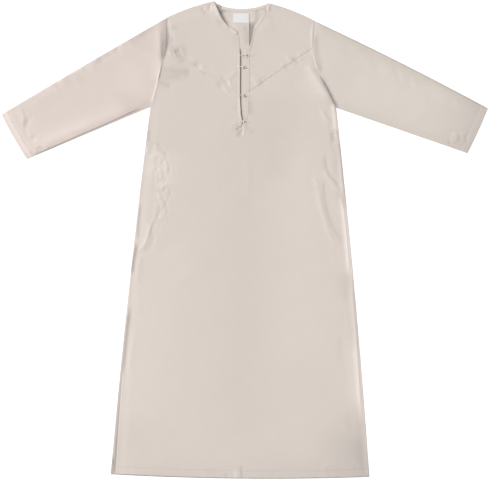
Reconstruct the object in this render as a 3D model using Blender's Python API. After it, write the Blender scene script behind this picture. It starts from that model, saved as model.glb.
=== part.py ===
"""A long collarless robe, laid flat on its back with its front up and its sleeves spread.

The tables hold millimetres, which become metres when a mesh is made. Looking down at the front,
+X is to the right and +Y runs towards the neck, and +Z is up. The origin is the middle of the
robe's plan, on the surface that it lies on. Left and right are as seen from above.
"""

from typing import NamedTuple

import bpy
import numpy as np

MM = 0.001


class Run(NamedTuple):
    """A straight plan line that bows to the left of its own walk by so much at its middle."""

    start: tuple
    end: tuple
    bow: float = 0.0


class Fold(NamedTuple):
    """A soft ridge, or a trough where the height is negative, along a plan line."""

    start: tuple
    end: tuple
    half_width: float
    height: float


class BagRow(NamedTuple):
    """One level of a pocket bag: its height up the robe and its two edges."""

    y: float
    inner_x: float
    outer_x: float


class Fastening(NamedTuple):
    """One button and loop: its height up the robe and the middle of the button's ball."""

    y: float
    ball_x: float


# Cloth
WALL = 1.2
SEAM_GAP = 0.3
SEAM_SHIFT = 0.4
BINDING_WALL = 1.0
BINDING_WIDTH = 9.5
TURN_UP = 0.6

# Silhouette
NECK_POINT_LEFT = (-92, 735)
NECK_POINT_RIGHT = (77, 729)
SHOULDER_LEFT = Run(NECK_POINT_LEFT, (-236, 685), -4.5)
SHOULDER_RIGHT = Run(NECK_POINT_RIGHT, (218, 674), 4.5)
SIDE_LEFT = Run((-287, 411), (-409, -718), -4)
SIDE_RIGHT = Run((283, 408), (386, -728), 4)
BACK_HEM = Run(SIDE_LEFT.end, SIDE_RIGHT.end, -12)
BACK_NECKLINE = (
    NECK_POINT_LEFT, (-81, 727), (-61, 715), (-33, 709), (-9, 708), (25, 711), (56, 720), NECK_POINT_RIGHT,
)

# Armholes, from the shoulder to the V seam and on to the armpit
ARMHOLE_LEFT_UPPER = (SHOULDER_LEFT.end, (-236, 655), (-238, 591))
ARMHOLE_LEFT_LOWER = (
    (-238, 591), (-240, 574), (-250, 545), (-256, 530), (-265, 493), (-274, 456), SIDE_LEFT.start,
)
ARMHOLE_RIGHT_UPPER = (SHOULDER_RIGHT.end, (214, 640), (211, 590))
ARMHOLE_RIGHT_LOWER = ((211, 590), (214, 545), (234, 505), (257, 468), SIDE_RIGHT.start)

# Neckline and slit of the front
NECKLINE_LEFT = (NECK_POINT_LEFT, (-78, 709), (-69, 692), (-58, 676), (-48, 662), (-32, 646), (-17, 628))
NECKLINE_RIGHT = (NECK_POINT_RIGHT, (65, 711), (56, 695), (46, 678), (36, 663), (29, 652))
SLIT_FOOT = (0, 334)
SLIT_LEFT_UPPER = (NECKLINE_LEFT[-1], (-12, 600), (-10, 554), (-11, 449))
SLIT_LEFT_LOWER = ((-11, 449), (-9, 391), (-6, 358), SLIT_FOOT)
SLIT_RIGHT_UPPER = (NECKLINE_RIGHT[-1], (27, 634), (22, 609), (15, 591), (12, 560), (11, 453))
SLIT_RIGHT_LOWER = ((11, 453), (9, 391), (6, 358), SLIT_FOOT)

# Front panel, whose left side is tucked in from the back panel's towards the hem
FRONT_HEM_RISE = 1.5
FRONT_TUCK = 15
FRONT_TUCK_FROM = 0.5
HEM_TURN = 20.5
TURN_STEP = 1.5

# Sleeves
SLEEVE_TOP_LEFT = Run(SHOULDER_LEFT.end, (-749, 384), -1.5)
SLEEVE_TOP_RIGHT = Run(SHOULDER_RIGHT.end, (749, 406), 4.5)
SLEEVE_FOOT_LEFT = Run(SIDE_LEFT.start, (-669, 249))
SLEEVE_FOOT_RIGHT = Run(SIDE_RIGHT.start, (686, 268))
CUFF_LEFT = Run(SLEEVE_TOP_LEFT.end, SLEEVE_FOOT_LEFT.end, -3)
CUFF_RIGHT = Run(SLEEVE_TOP_RIGHT.end, SLEEVE_FOOT_RIGHT.end, 2)
CUFF_TURN = 22

# Heights of the upper layer over the lower one
LOFT = 0.9
SIDE_EASE = 34
SLEEVE_LOFT = 0.7
SLEEVE_EASE = 26
FOLD_EDGE_Z = 1.35
MOST_HOLLOW = 3.7

# Lift of the front along its neckline
NECK_LIFT_LEFT = 2.2
NECK_LIFT_RIGHT = 1.5
NECK_REACH = 60

# Strip behind the slit
GUARD_LEFT_X = -20
GUARD_RIGHT_X = 17
GUARD_TOP_Y = 669
GUARD_FOOT_Y = 322
GUARD_RISE = 2.0
GUARD_RISE_FROM = 540
COVER_CLEARANCE = 0.5
COVER_MARGIN = 7
COVER_SLOPE = 0.05

# Pocket bags
BAG_WALL = 1.0
BAG_SLOPE = 0.11
BAG_CLEARANCE = 0.7
BAG_LEFT = (
    BagRow(266, -270, -285), BagRow(228, -262, -296), BagRow(170, -258, -303), BagRow(109, -261, -309),
    BagRow(60, -271, -311), BagRow(22, -289, -314), BagRow(-6, -305, -315),
)
BAG_RIGHT = (
    BagRow(258, 250, 284), BagRow(222, 244, 288), BagRow(170, 241, 294), BagRow(109, 246, 300),
    BagRow(58, 259, 302), BagRow(20, 276, 305), BagRow(-6, 292, 305),
)

# Label inside the back of the neck
LABEL_LEFT_X = -33
LABEL_RIGHT_X = 16
LABEL_TOP_Y = 697
LABEL_FOOT_Y = 669
LABEL_WALL = 1.0

# Buttons and loops
FASTENINGS = (Fastening(569, 6), Fastening(533, -3), Fastening(446, -2.5), Fastening(365, -0.8))
BALL_RADIUS = 2.9
STEM_RADIUS = 1.1
STEM_LENGTH = 19
CORD_RADIUS = 0.9
STEM_PLACES = (-30, -20, -12)
LOOP_REACH = 24
TAIL_SPREAD = 1.6
WAIST_REACH = 10
WAIST_SPREAD = 2.1
LOOP_OPENS_AT = 62
LOOP_CLIMB_END = 8.5

# Largest folds of the body's front
FOLDS = (
    Fold((10, 300), (10, 120), 26, 0.5),
    Fold((95, 671), (43, 643), 24, 1.2),
    Fold((-232, 560), (-120, 566), 30, 1.0),
    Fold((250, 560), (225, 430), 40, 0.8),
    Fold((231, 523), (283, 420), 18, -0.7),
    Fold((-262, 500), (-285, 420), 16, -0.6),
    Fold((-250, 160), (-222, 60), 26, 0.9),
    Fold((-292, 60), (-330, -40), 26, 1.4),
    Fold((-240, 280), (-262, 190), 24, 0.8),
    Fold((228, 240), (250, 30), 30, 0.8),
    Fold((300, 300), (318, 40), 18, 1.0),
    Fold((336, -260), (362, -600), 30, 1.3),
    Fold((-330, -260), (-366, -640), 34, 0.8),
    Fold((120, -560), (130, -720), 40, 0.6),
    Fold((-120, -600), (-90, -720), 40, 0.5),
)

# Largest folds of the sleeves
SLEEVE_FOLDS = (
    Fold((-262, 655), (-266, 520), 18, 1.5),
    Fold((-300, 600), (-700, 370), 60, 0.9),
    Fold((-300, 480), (-640, 330), 40, 0.7),
    Fold((250, 630), (262, 540), 24, 0.9),
    Fold((300, 560), (660, 380), 60, 1.0),
    Fold((330, 450), (640, 320), 36, 0.6),
    Fold((-690, 360), (-660, 290), 20, 0.6),
    Fold((660, 340), (690, 300), 20, 0.6),
)

# Points well inside each half of the chest
INSIDE_LEFT = (-150, 600)
INSIDE_RIGHT = (150, 600)
INSIDE_BACK = (0, 600)

# Grid of each piece
ARMHOLE_UPPER_CELLS = 4
ARMHOLE_LOWER_CELLS = 8
YOKE_ROWS_PER_CELL = 3
NECKLINE_ROWS = 7
YOKE_COLUMNS = (0, 0.12, 0.26, 0.42, 0.58, 0.74, 0.88, 1)
FRONT_COLUMNS = (0, 0.022, 0.05, 0.085, 0.125, 0.175, 0.24, 0.33, 0.45, 0.58, 0.72, 0.86, 0.962, 1)
FRONT_ROWS = 25
SIDE_ROWS = 2
SLEEVE_RINGS = 12
SLEEVE_EDGE_CELL = 0.3
LINING_INSET = 0.6
HEM_CELLS = 16
SHOULDER_CELLS = 6
BACK_NECK_CELLS = 16
BINDING_CELLS_SKIPPED = (3, 2)
GUARD_ROWS = 13
GUARD_COLUMNS = 3
SLIT_UPPER_CELLS = 12
SLIT_LOWER_CELLS = 8
KNOT_SIDES = 8
CORD_SIDES = 6
CORD_CELLS = 12
ARC_CELLS = 5

# Lengths into which the curves that heights are measured from are cut
SPAN_STEPS = 16
SIDE_STEPS = 8
SHOULDER_STEPS = 4
HEM_STEPS = 32
SHIFT_STEPS = 200

# Shading and fading
SHARP_ANGLE = 40
FOLD_FADE = 0.3

# Finishes
CLOTH = ("cloth", (218, 208, 198), 0.85)
BINDING = ("binding", (222, 211, 201), 0.85)
LABEL = ("label", (238, 238, 240), 0.7)
CORD = ("cord", (226, 216, 205), 0.8)


def linear_colour(rgb):
    """The colour from screen values to the linear values that a shader takes."""
    share = np.array(rgb) / 255
    return (*np.where(share > 0.04045, ((share + 0.055) / 1.055) ** 2.4, share / 12.92), 1)


def make_material(finish):
    """A Principled material from a name, screen colour and roughness."""
    name, rgb, roughness = finish
    if name in bpy.data.materials:
        return bpy.data.materials[name]
    material = bpy.data.materials.new(name)
    material.use_nodes = True
    shader = material.node_tree.nodes["Principled BSDF"]
    shader.inputs["Base Color"].default_value = linear_colour(rgb)
    shader.inputs["Roughness"].default_value = roughness
    shader.inputs["Metallic"].default_value = 0
    return material


def make_object(name, points, faces, finish):
    """A named mesh object from millimetre points, with its faces turned outwards."""
    points = np.asarray(points, float) * MM
    volume = 0.0
    for face in faces:
        fan = points[list(face)]
        volume += np.sum(np.cross(fan[1:-1], fan[2:]) @ fan[0])
    if volume < 0:
        faces = [tuple(reversed(face)) for face in faces]
    mesh = bpy.data.meshes.new(name)
    mesh.from_pydata(points.tolist(), [], [tuple(int(i) for i in face) for face in faces])
    mesh.materials.append(make_material(finish))
    mesh.shade_smooth()
    mesh.set_sharp_from_angle(angle=np.radians(SHARP_ANGLE))
    piece = bpy.data.objects.new(name, mesh)
    bpy.context.scene.collection.objects.link(piece)


def smoothstep(t):
    """An S-shaped rise from 0 to 1."""
    t = np.clip(t, 0, 1)
    return t * t * (3 - 2 * t)


def bowed(run, fractions):
    """Points along a run, each pushed aside by a parabola that is the run's bow at its middle."""
    start, end = np.array(run.start, float), np.array(run.end, float)
    along = end - start
    across = np.array((-along[1], along[0])) / np.linalg.norm(along)
    t = np.asarray(fractions, float)[:, None]
    return start + along * t + across * run.bow * 4 * t * (1 - t)


def resampled(path, fractions):
    """Points at these shares of a path's length."""
    steps = np.linalg.norm(np.diff(path, axis=0), axis=1)
    walked = np.concatenate(([0], np.cumsum(steps)))
    at = np.asarray(fractions, float) * walked[-1]
    return np.column_stack([np.interp(at, walked, column) for column in path.T])


def smooth_path(points, cells):
    """A Catmull-Rom curve through the points, cut into equal lengths."""
    knots = np.array(points, float)
    padded = np.vstack((2 * knots[0] - knots[1], knots, 2 * knots[-1] - knots[-2]))
    t = np.linspace(0, 1, SPAN_STEPS + 1)[:-1, None]
    spans = [
        (2 * b + (c - a) * t + (2 * a - 5 * b + 4 * c - d) * t**2 + (3 * b - a - 3 * c + d) * t**3) / 2
        for a, b, c, d in zip(padded, padded[1:], padded[2:], padded[3:])
    ]
    return resampled(np.vstack((*spans, knots[-1:])), np.linspace(0, 1, cells + 1))


def cut_finer(path, parts):
    """The same broken line with each straight length cut into equal parts."""
    at = np.arange(len(path))
    finer = np.linspace(0, len(path) - 1, (len(path) - 1) * parts + 1)
    return np.column_stack([np.interp(finer, at, column) for column in path.T])


def distance(plan, path):
    """How far each plan point lies from a broken line."""
    nearest = np.full(len(plan), np.inf)
    for start, end in zip(path[:-1], path[1:]):
        along = end - start
        share = np.clip((plan - start) @ along / (along @ along), 0, 1)
        nearest = np.minimum(nearest, np.linalg.norm(plan - start - share[:, None] * along, axis=1))
    return nearest


def patch(near, far, first, last, across, down):
    """A grid that fills four plan edges: near and far run down it, first and last across it."""
    u = np.asarray(across, float)[None, :, None]
    v = np.asarray(down, float)[:, None, None]
    ruled = (1 - u) * near[:, None] + u * far[:, None] + (1 - v) * first[None] + v * last[None]
    corners = (1 - v) * ((1 - u) * near[0] + u * far[0]) + v * ((1 - u) * near[-1] + u * far[-1])
    return ruled - corners


def length_shares(path):
    """The share of a path's length at each of its points."""
    steps = np.linalg.norm(np.diff(path, axis=0), axis=1)
    return np.concatenate(([0], np.cumsum(steps))) / steps.sum()


def fold_height(plan, folds):
    """The sum of the folds: a bell across each line, faded out at both its ends."""
    height = np.zeros(len(plan))
    for fold in folds:
        start, end = np.array(fold.start, float), np.array(fold.end, float)
        along = end - start
        share = (plan - start) @ along / (along @ along)
        aside = np.linalg.norm(plan - start - np.clip(share, 0, 1)[:, None] * along, axis=1)
        fade = smoothstep(share / FOLD_FADE + 0.5) * smoothstep((1 - share) / FOLD_FADE + 0.5)
        height += fold.height * np.exp(-((aside / fold.half_width) ** 2)) * fade
    return height


def armhole(side_upper, side_lower):
    """The armhole's broken line, shared by the panels and the sleeve that meet at it."""
    upper = smooth_path(side_upper, ARMHOLE_UPPER_CELLS)
    lower = smooth_path(side_lower, ARMHOLE_LOWER_CELLS)
    return upper, lower


def guard_underside(y):
    """Height of the strip behind the slit, which rises towards the neck."""
    rise = smoothstep((np.asarray(y, float) - GUARD_RISE_FROM) / (GUARD_TOP_Y - GUARD_RISE_FROM))
    return WALL + SEAM_GAP + GUARD_RISE * rise


def cover_of_guard(plan):
    """The least height that keeps the front clear of the strip behind the slit."""
    beside = np.maximum(GUARD_LEFT_X - plan[:, 0], plan[:, 0] - GUARD_RIGHT_X)
    beyond = np.maximum(GUARD_FOOT_Y - plan[:, 1], plan[:, 1] - GUARD_TOP_Y)
    outside = np.maximum(np.maximum(beside, beyond) - COVER_MARGIN, 0)
    return guard_underside(plan[:, 1]) + WALL + COVER_CLEARANCE - COVER_SLOPE * outside


def cover_of_bag(plan, rows):
    """The least height that keeps the front clear of a pocket bag."""
    levels = np.array([row.y for row in rows])[::-1]
    inner = np.interp(plan[:, 1], levels, [row.inner_x for row in rows][::-1])
    outer = np.interp(plan[:, 1], levels, [row.outer_x for row in rows][::-1])
    low, high = np.minimum(inner, outer), np.maximum(inner, outer)
    beside = np.maximum(low - plan[:, 0], plan[:, 0] - high)
    beyond = np.maximum(levels[0] - plan[:, 1], plan[:, 1] - levels[-1])
    outside = np.maximum(np.maximum(beside, beyond), 0)
    return WALL + SEAM_GAP + BAG_WALL + BAG_CLEARANCE - BAG_SLOPE * outside


def front_underside(plan):
    """Height of the front's lower face: it meets the back at its edges and lofts between them."""
    side_cuts = np.linspace(0, 1, SIDE_STEPS + 1)
    shoulder_cuts = np.linspace(0, 1, SHOULDER_STEPS + 1)
    sides = np.minimum(distance(plan, bowed(SIDE_LEFT, side_cuts)), distance(plan, bowed(SIDE_RIGHT, side_cuts)))
    shoulders = np.minimum(
        distance(plan, bowed(SHOULDER_LEFT, shoulder_cuts)), distance(plan, bowed(SHOULDER_RIGHT, shoulder_cuts)),
    )
    ease = smoothstep(np.minimum(sides, shoulders) / SIDE_EASE)
    from_left = distance(plan, smooth_path(NECKLINE_LEFT, NECKLINE_ROWS))
    from_right = distance(plan, smooth_path(NECKLINE_RIGHT, NECKLINE_ROWS))
    height = LOFT + fold_height(plan, FOLDS)
    height += NECK_LIFT_LEFT * (1 - smoothstep(from_left / NECK_REACH))
    height += NECK_LIFT_RIGHT * (1 - smoothstep(from_right / NECK_REACH))
    height = WALL + SEAM_GAP + np.clip(height, 0, MOST_HOLLOW - SEAM_GAP) * ease
    height = np.maximum(height, cover_of_guard(plan))
    height = np.maximum(height, cover_of_bag(plan, BAG_LEFT))
    return np.maximum(height, cover_of_bag(plan, BAG_RIGHT))


def sleeve_hollow(plan, top_edge, foot_edge):
    """The space inside a sleeve, from its lower wall to its upper one."""
    ease = smoothstep(np.minimum(distance(plan, top_edge), distance(plan, foot_edge)) / SLEEVE_EASE)
    return SEAM_GAP + np.clip(SLEEVE_LOFT + fold_height(plan, SLEEVE_FOLDS), 0, MOST_HOLLOW) * ease


def make_sheet(name, blocks, underside, turn_up, finish=CLOTH, wall=WALL):
    """A closed wall of cloth from plan grids that share their edges.

    underside gives the lower face's height at each plan point, and turn_up what the upper face
    stands over the plain wall there.
    """
    plan = np.round(np.vstack([block.reshape(-1, 2) for block in blocks]), 3)
    plan, index = np.unique(plan, axis=0, return_inverse=True)
    index = index.reshape(-1)
    faces = []
    first = 0
    for block in blocks:
        rows, columns = block.shape[:2]
        grid = index[first : first + rows * columns].reshape(rows, columns)
        first += rows * columns
        corners = np.stack((grid[:-1, :-1], grid[1:, :-1], grid[1:, 1:], grid[:-1, 1:]), axis=-1)
        quads = corners.reshape(-1, 4)
        a, b, c, d = (plan[quads[:, k]] for k in range(4))
        spread = (c - a)[:, 0] * (d - b)[:, 1] - (c - a)[:, 1] * (d - b)[:, 0]
        faces += (quads if spread.sum() > 0 else quads[:, ::-1]).tolist()
    low = underside(plan)
    high = low + wall + turn_up(plan)
    count = len(plan)
    used = {(face[k], face[(k + 1) % 4]) for face in faces for k in range(4)}
    rim = [(a, b) for a, b in used if (b, a) not in used]
    sides = [(b, a, a + count, b + count) for a, b in sorted(rim)]
    floor = [tuple(i + count for i in reversed(face)) for face in faces]
    points = np.vstack((np.column_stack((plan, high)), np.column_stack((plan, low))))
    make_object(name, points, faces + floor + sides, finish)


def make_slab(name, outline, low, high, finish=CLOTH):
    """A flat plate between two heights inside a plan outline."""
    count = len(outline)
    points = np.vstack((np.column_stack((outline, np.full(count, high))),
                        np.column_stack((outline, np.full(count, low)))))
    after = [(k + 1) % count for k in range(count)]
    sides = [(after[k], k, k + count, after[k] + count) for k in range(count)]
    top = tuple(range(count))
    floor = tuple(k + count for k in reversed(range(count)))
    make_object(name, points, [top, floor, *sides], finish)


def make_tube_wall(name, outer, inner):
    """A tube with two open ends, from matching rings of outer and inner points."""
    rings, around = outer.shape[:2]
    index = np.arange(rings * around).reshape(rings, around)
    after = np.roll(index, -1, axis=1)
    skin = np.stack((index[:-1], index[1:], after[1:], after[:-1]), axis=-1).reshape(-1, 4)
    shift = rings * around
    lining = skin[:, ::-1] + shift
    start = np.stack((after[0], after[0] + shift, index[0] + shift, index[0]), axis=-1)
    end = np.stack((index[-1], index[-1] + shift, after[-1] + shift, after[-1]), axis=-1)
    points = np.vstack((outer.reshape(-1, 3), inner.reshape(-1, 3)))
    make_object(name, points, np.vstack((skin, lining, start, end)).tolist(), CLOTH)


def make_round(name, path, radii, finish, sides):
    """A round body along a path, closed at both ends, from a radius at each of its points."""
    along = np.gradient(path, axis=0)
    along /= np.linalg.norm(along, axis=1)[:, None]
    aside = np.cross(along, (0, 0, 1))
    aside /= np.linalg.norm(aside, axis=1)[:, None]
    above = np.cross(aside, along)
    angles = np.linspace(0, 2 * np.pi, sides, endpoint=False)[None, :, None]
    spokes = np.cos(angles) * aside[:, None] + np.sin(angles) * above[:, None]
    points = (path[:, None] + np.asarray(radii)[:, None, None] * spokes).reshape(-1, 3)
    index = np.arange(len(points)).reshape(len(path), sides)
    after = np.roll(index, -1, axis=1)
    skin = np.stack((index[:-1], index[1:], after[1:], after[:-1]), axis=-1).reshape(-1, 4)
    caps = [tuple(index[0].tolist()), tuple(index[-1][::-1].tolist())]
    make_object(name, points, skin.tolist() + caps, finish)


def front_side_left(fractions):
    """The front's left side, from armpit to hem, which leaves a strip of the back showing."""
    t = np.asarray(fractions, float)
    plan = bowed(SIDE_LEFT, t)
    plan[:, 0] += FRONT_TUCK * np.clip((t - FRONT_TUCK_FROM) / (1 - FRONT_TUCK_FROM), 0, 1)
    plan[:, 1] += FRONT_HEM_RISE * t
    return plan


def front_side_right(fractions):
    """The front's right side, from armpit to hem."""
    plan = bowed(SIDE_RIGHT, fractions)
    plan[:, 1] += FRONT_HEM_RISE * np.asarray(fractions, float)
    return plan


def side_share(run, y):
    """The share of a side's length at which it reaches this height."""
    return (run.start[1] - y) / (run.start[1] - run.end[1])


def make_back():
    """The back panel: one flat plate inside the whole silhouette of the body."""
    edge_cells = np.linspace(0, 1, HEM_CELLS + 1)
    shoulder_cells = np.linspace(0, 1, SHOULDER_CELLS + 1)
    upper_left, lower_left = armhole(ARMHOLE_LEFT_UPPER, ARMHOLE_LEFT_LOWER)
    upper_right, lower_right = armhole(ARMHOLE_RIGHT_UPPER, ARMHOLE_RIGHT_LOWER)
    outline = np.vstack((
        bowed(SHOULDER_LEFT, shoulder_cells)[:-1],
        upper_left[:-1], lower_left[:-1],
        bowed(SIDE_LEFT, edge_cells)[:-1],
        bowed(BACK_HEM, edge_cells)[:-1],
        bowed(SIDE_RIGHT, edge_cells)[:0:-1],
        lower_right[:0:-1], upper_right[:0:-1],
        bowed(SHOULDER_RIGHT, shoulder_cells)[:0:-1],
        smooth_path(BACK_NECKLINE, BACK_NECK_CELLS)[:0:-1],
    ))
    make_slab("back_panel", outline, 0, WALL)


def edge_strip(edge, width, inside):
    """A line beside an edge, moved towards the inside point by a strip's width."""
    along = np.gradient(edge, axis=0)
    across = np.column_stack((-along[:, 1], along[:, 0]))
    across /= np.linalg.norm(across, axis=1)[:, None]
    towards = np.sign(np.sum((inside - edge.mean(axis=0)) * across.mean(axis=0)))
    return edge + towards * width * across


def yoke_grid(shoulder, armhole_upper, neckline, slit, inside):
    """The plan grid of one yoke, its first column as wide as the neck binding."""
    outer = cut_finer(armhole_upper, YOKE_ROWS_PER_CELL)
    rows = len(outer) - 1
    edge = np.vstack((smooth_path(neckline, NECKLINE_ROWS), smooth_path(slit, rows - NECKLINE_ROWS)[1:]))
    beside = edge_strip(edge, BINDING_WIDTH, inside)
    top = bowed(shoulder, np.linspace(0, 1, SHIFT_STEPS + 1))
    shift = np.argmin(np.linalg.norm(top - beside[0], axis=1)) / SHIFT_STEPS
    beside[0] = bowed(shoulder, [shift])[0]
    seam = outer[-1] - edge[-1]
    beside[-1] = edge[-1] + seam * BINDING_WIDTH / np.linalg.norm(seam)
    fractions = np.array(YOKE_COLUMNS)
    first = bowed(shoulder, shift + (1 - shift) * fractions)
    last = beside[-1] + (outer[-1] - beside[-1]) * fractions[:, None]
    inner = patch(beside, outer, first, last, fractions, length_shares(outer))
    return np.concatenate((edge[:, None], inner), axis=1)


def make_binding(name, strip, underside):
    """A strip that lies on a panel: the panel's own points moved out by the seam gap."""
    make_sheet(name, [strip], lambda plan: underside(plan) + SEAM_GAP, no_turn_up, BINDING, BINDING_WALL)


def no_turn_up(plan):
    """A plain upper face."""
    return np.zeros(len(plan))


def slit_turn_up(plan):
    """The turned and stitched edge on both sides of the slit."""
    beside = np.full(len(plan), np.inf)
    for upper, lower in ((SLIT_LEFT_UPPER, SLIT_LEFT_LOWER), (SLIT_RIGHT_UPPER, SLIT_RIGHT_LOWER)):
        beside = np.minimum(beside, distance(plan, smooth_path(upper, SLIT_UPPER_CELLS)))
        beside = np.minimum(beside, distance(plan, smooth_path(lower, SLIT_LOWER_CELLS)))
    return TURN_UP * (beside < BINDING_WIDTH / 2)


def front_turn_up(plan):
    """The turned edges of the slit and of the front's hem."""
    hem = front_hem(np.linspace(0, 1, HEM_STEPS + 1))
    return np.maximum(slit_turn_up(plan), TURN_UP * (distance(plan, hem) < HEM_TURN + TURN_STEP / 2))


def front_hem(fractions):
    """The front's hem from left to right."""
    ends = Run(tuple(front_side_left([1])[0]), tuple(front_side_right([1])[0]), BACK_HEM.bow)
    return bowed(ends, fractions)


def yoke_top(plan):
    """Height of a yoke's upper face."""
    return front_underside(plan) + WALL + slit_turn_up(plan)


def make_yokes():
    """The two yokes and the bindings on their necklines."""
    left = yoke_grid(
        SHOULDER_LEFT, smooth_path(ARMHOLE_LEFT_UPPER, ARMHOLE_UPPER_CELLS), NECKLINE_LEFT,
        SLIT_LEFT_UPPER, np.array(INSIDE_LEFT),
    )
    right = yoke_grid(
        SHOULDER_RIGHT, smooth_path(ARMHOLE_RIGHT_UPPER, ARMHOLE_UPPER_CELLS), NECKLINE_RIGHT,
        SLIT_RIGHT_UPPER, np.array(INSIDE_RIGHT),
    )
    for side, grid in (("left", left), ("right", right)):
        make_sheet(f"yoke_{side}", [grid], front_underside, slit_turn_up)
        make_binding(f"neck_binding_{side}", grid[: NECKLINE_ROWS + 1, :2], yoke_top)


def front_half(side_edge, side_run, armhole_lower, slit, hem_shares):
    """The plan grids of half the front: hem to the slit's foot, and on up to the V seam."""
    level = side_share(side_run, SLIT_FOOT[1])
    slit_line = smooth_path(slit, len(armhole_lower) - 1 + SIDE_ROWS)[::-1]
    foot = slit_line[0]
    hem_middle = front_hem([hem_shares[1]])[0]
    turn = HEM_TURN / (foot[1] - hem_middle[1])
    step = TURN_STEP / (foot[1] - hem_middle[1])
    climb = np.concatenate(([0, turn], np.linspace(turn + step, 1, FRONT_ROWS)))
    across = np.array(FRONT_COLUMNS)
    side = side_edge(1 - climb * (1 - level))
    middle = hem_middle + (foot - hem_middle) * climb[:, None]
    hem = front_hem(hem_shares[0] + (hem_shares[1] - hem_shares[0]) * across)
    top = side[-1] + (foot - side[-1]) * across[:, None]
    lower = patch(side, middle, hem, top, across, climb)
    upper_side = np.vstack((side_edge(np.linspace(level, 0, SIDE_ROWS + 1))[:-1], armhole_lower[::-1]))
    seam = upper_side[-1] + (slit_line[-1] - upper_side[-1]) * across[:, None]
    upper = patch(upper_side, slit_line, top, seam, across, length_shares(upper_side))
    return [lower, upper]


def make_front():
    """The front panel below the V seams, cut open down the middle as far as the slit's foot."""
    blocks = front_half(
        front_side_left, SIDE_LEFT, smooth_path(ARMHOLE_LEFT_LOWER, ARMHOLE_LOWER_CELLS),
        SLIT_LEFT_LOWER, (0, 0.5),
    )
    blocks += front_half(
        front_side_right, SIDE_RIGHT, smooth_path(ARMHOLE_RIGHT_LOWER, ARMHOLE_LOWER_CELLS),
        SLIT_RIGHT_LOWER, (1, 0.5),
    )
    for block in (blocks[1], blocks[3]):
        block[-1] -= (0, SEAM_SHIFT)
    make_sheet("front_panel", blocks, front_underside, front_turn_up)


def make_sleeve(name, top_run, foot_run, cuff_run, armhole_line, outwards):
    """A sleeve pressed flat: a tube of cloth, open at the armhole and at the cuff.

    Its rings run from the armhole to the cuff. Each goes over the top from one fold to the other,
    and back along the surface that the robe lies on.
    """
    cells = len(armhole_line) - 1
    edge = SLEEVE_EDGE_CELL / cells
    across = np.concatenate(([0, edge], np.linspace(0, 1, cells + 1)[1:-1], [1 - edge, 1]))
    at = np.linspace(0, 1, cells + 1)
    start = np.column_stack([np.interp(across, at, column) for column in armhole_line.T])
    start[:, 0] += outwards * SEAM_SHIFT
    length = np.linalg.norm(np.subtract(top_run.end, top_run.start))
    turn_starts = 1 - CUFF_TURN / length
    down = np.concatenate((np.linspace(0, turn_starts - TURN_STEP / length, SLEEVE_RINGS), [turn_starts, 1]))
    top_edge = bowed(Run(tuple(start[0]), top_run.end, top_run.bow), down)
    foot_edge = bowed(Run(tuple(start[-1]), foot_run.end, foot_run.bow), down)
    plan = patch(top_edge, foot_edge, start, bowed(cuff_run, across), across, down)
    rings, columns = plan.shape[:2]
    hollow = sleeve_hollow(plan.reshape(-1, 2), top_edge, foot_edge).reshape(rings, columns)
    turned = TURN_UP * (down >= turn_starts)[:, None]
    outer_top = np.dstack((plan, 2 * WALL + hollow + turned))
    inner_plan = plan.copy()
    inner_plan[:, 0] += (plan[:, 1] - plan[:, 0]) * LINING_INSET
    inner_plan[:, -1] += (plan[:, -2] - plan[:, -1]) * LINING_INSET
    inner_top = np.dstack((inner_plan, WALL + hollow))
    outer_top[:, [0, -1], 2] = FOLD_EDGE_Z
    inner_top[:, [0, -1], 2] = WALL + SEAM_GAP / 2
    outer_floor = np.dstack((plan[:, -2:0:-1], np.zeros((rings, columns - 2))))
    inner_floor = np.dstack((plan[:, -2:0:-1], np.full((rings, columns - 2), WALL)))
    outer = np.concatenate((outer_top, outer_floor), axis=1)
    inner = np.concatenate((inner_top, inner_floor), axis=1)
    make_tube_wall(name, outer, inner)


def make_sleeves():
    """Both sleeves, each starting on the broken line of its armhole."""
    upper, lower = armhole(ARMHOLE_LEFT_UPPER, ARMHOLE_LEFT_LOWER)
    make_sleeve("sleeve_left", SLEEVE_TOP_LEFT, SLEEVE_FOOT_LEFT, CUFF_LEFT, np.vstack((upper, lower[1:])), -1)
    upper, lower = armhole(ARMHOLE_RIGHT_UPPER, ARMHOLE_RIGHT_LOWER)
    make_sleeve(
        "sleeve_right", SLEEVE_TOP_RIGHT, SLEEVE_FOOT_RIGHT, CUFF_RIGHT, np.vstack((upper, lower[1:])), 1
    )


def make_back_binding():
    """The binding on the back neckline, between the two front edges."""
    from_left, from_right = BINDING_CELLS_SKIPPED
    neckline = smooth_path(BACK_NECKLINE, BACK_NECK_CELLS)[from_left:-from_right]
    strip = np.stack((neckline, edge_strip(neckline, BINDING_WIDTH, np.array(INSIDE_BACK))), axis=1)
    make_binding("neck_binding_back", strip, lambda plan: np.full(len(plan), WALL))


def make_guard():
    """The strip behind the slit."""
    levels = np.linspace(GUARD_FOOT_Y, GUARD_TOP_Y, GUARD_ROWS + 1)
    across = np.linspace(GUARD_LEFT_X, GUARD_RIGHT_X, GUARD_COLUMNS + 1)
    grid = np.stack(np.meshgrid(across, levels), axis=-1)
    make_sheet("placket_guard", [grid], lambda plan: guard_underside(plan[:, 1]), no_turn_up)


def make_bags():
    """The two pocket bags, pressed flat on the back panel inside the side seams."""
    low = WALL + SEAM_GAP
    for side, rows in (("left", BAG_LEFT), ("right", BAG_RIGHT)):
        inner = [(row.inner_x, row.y) for row in rows]
        outer = [(row.outer_x, row.y) for row in reversed(rows)]
        outline = np.array(inner + outer, float)
        make_slab(f"pocket_bag_{side}", outline, low, low + BAG_WALL)


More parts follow.
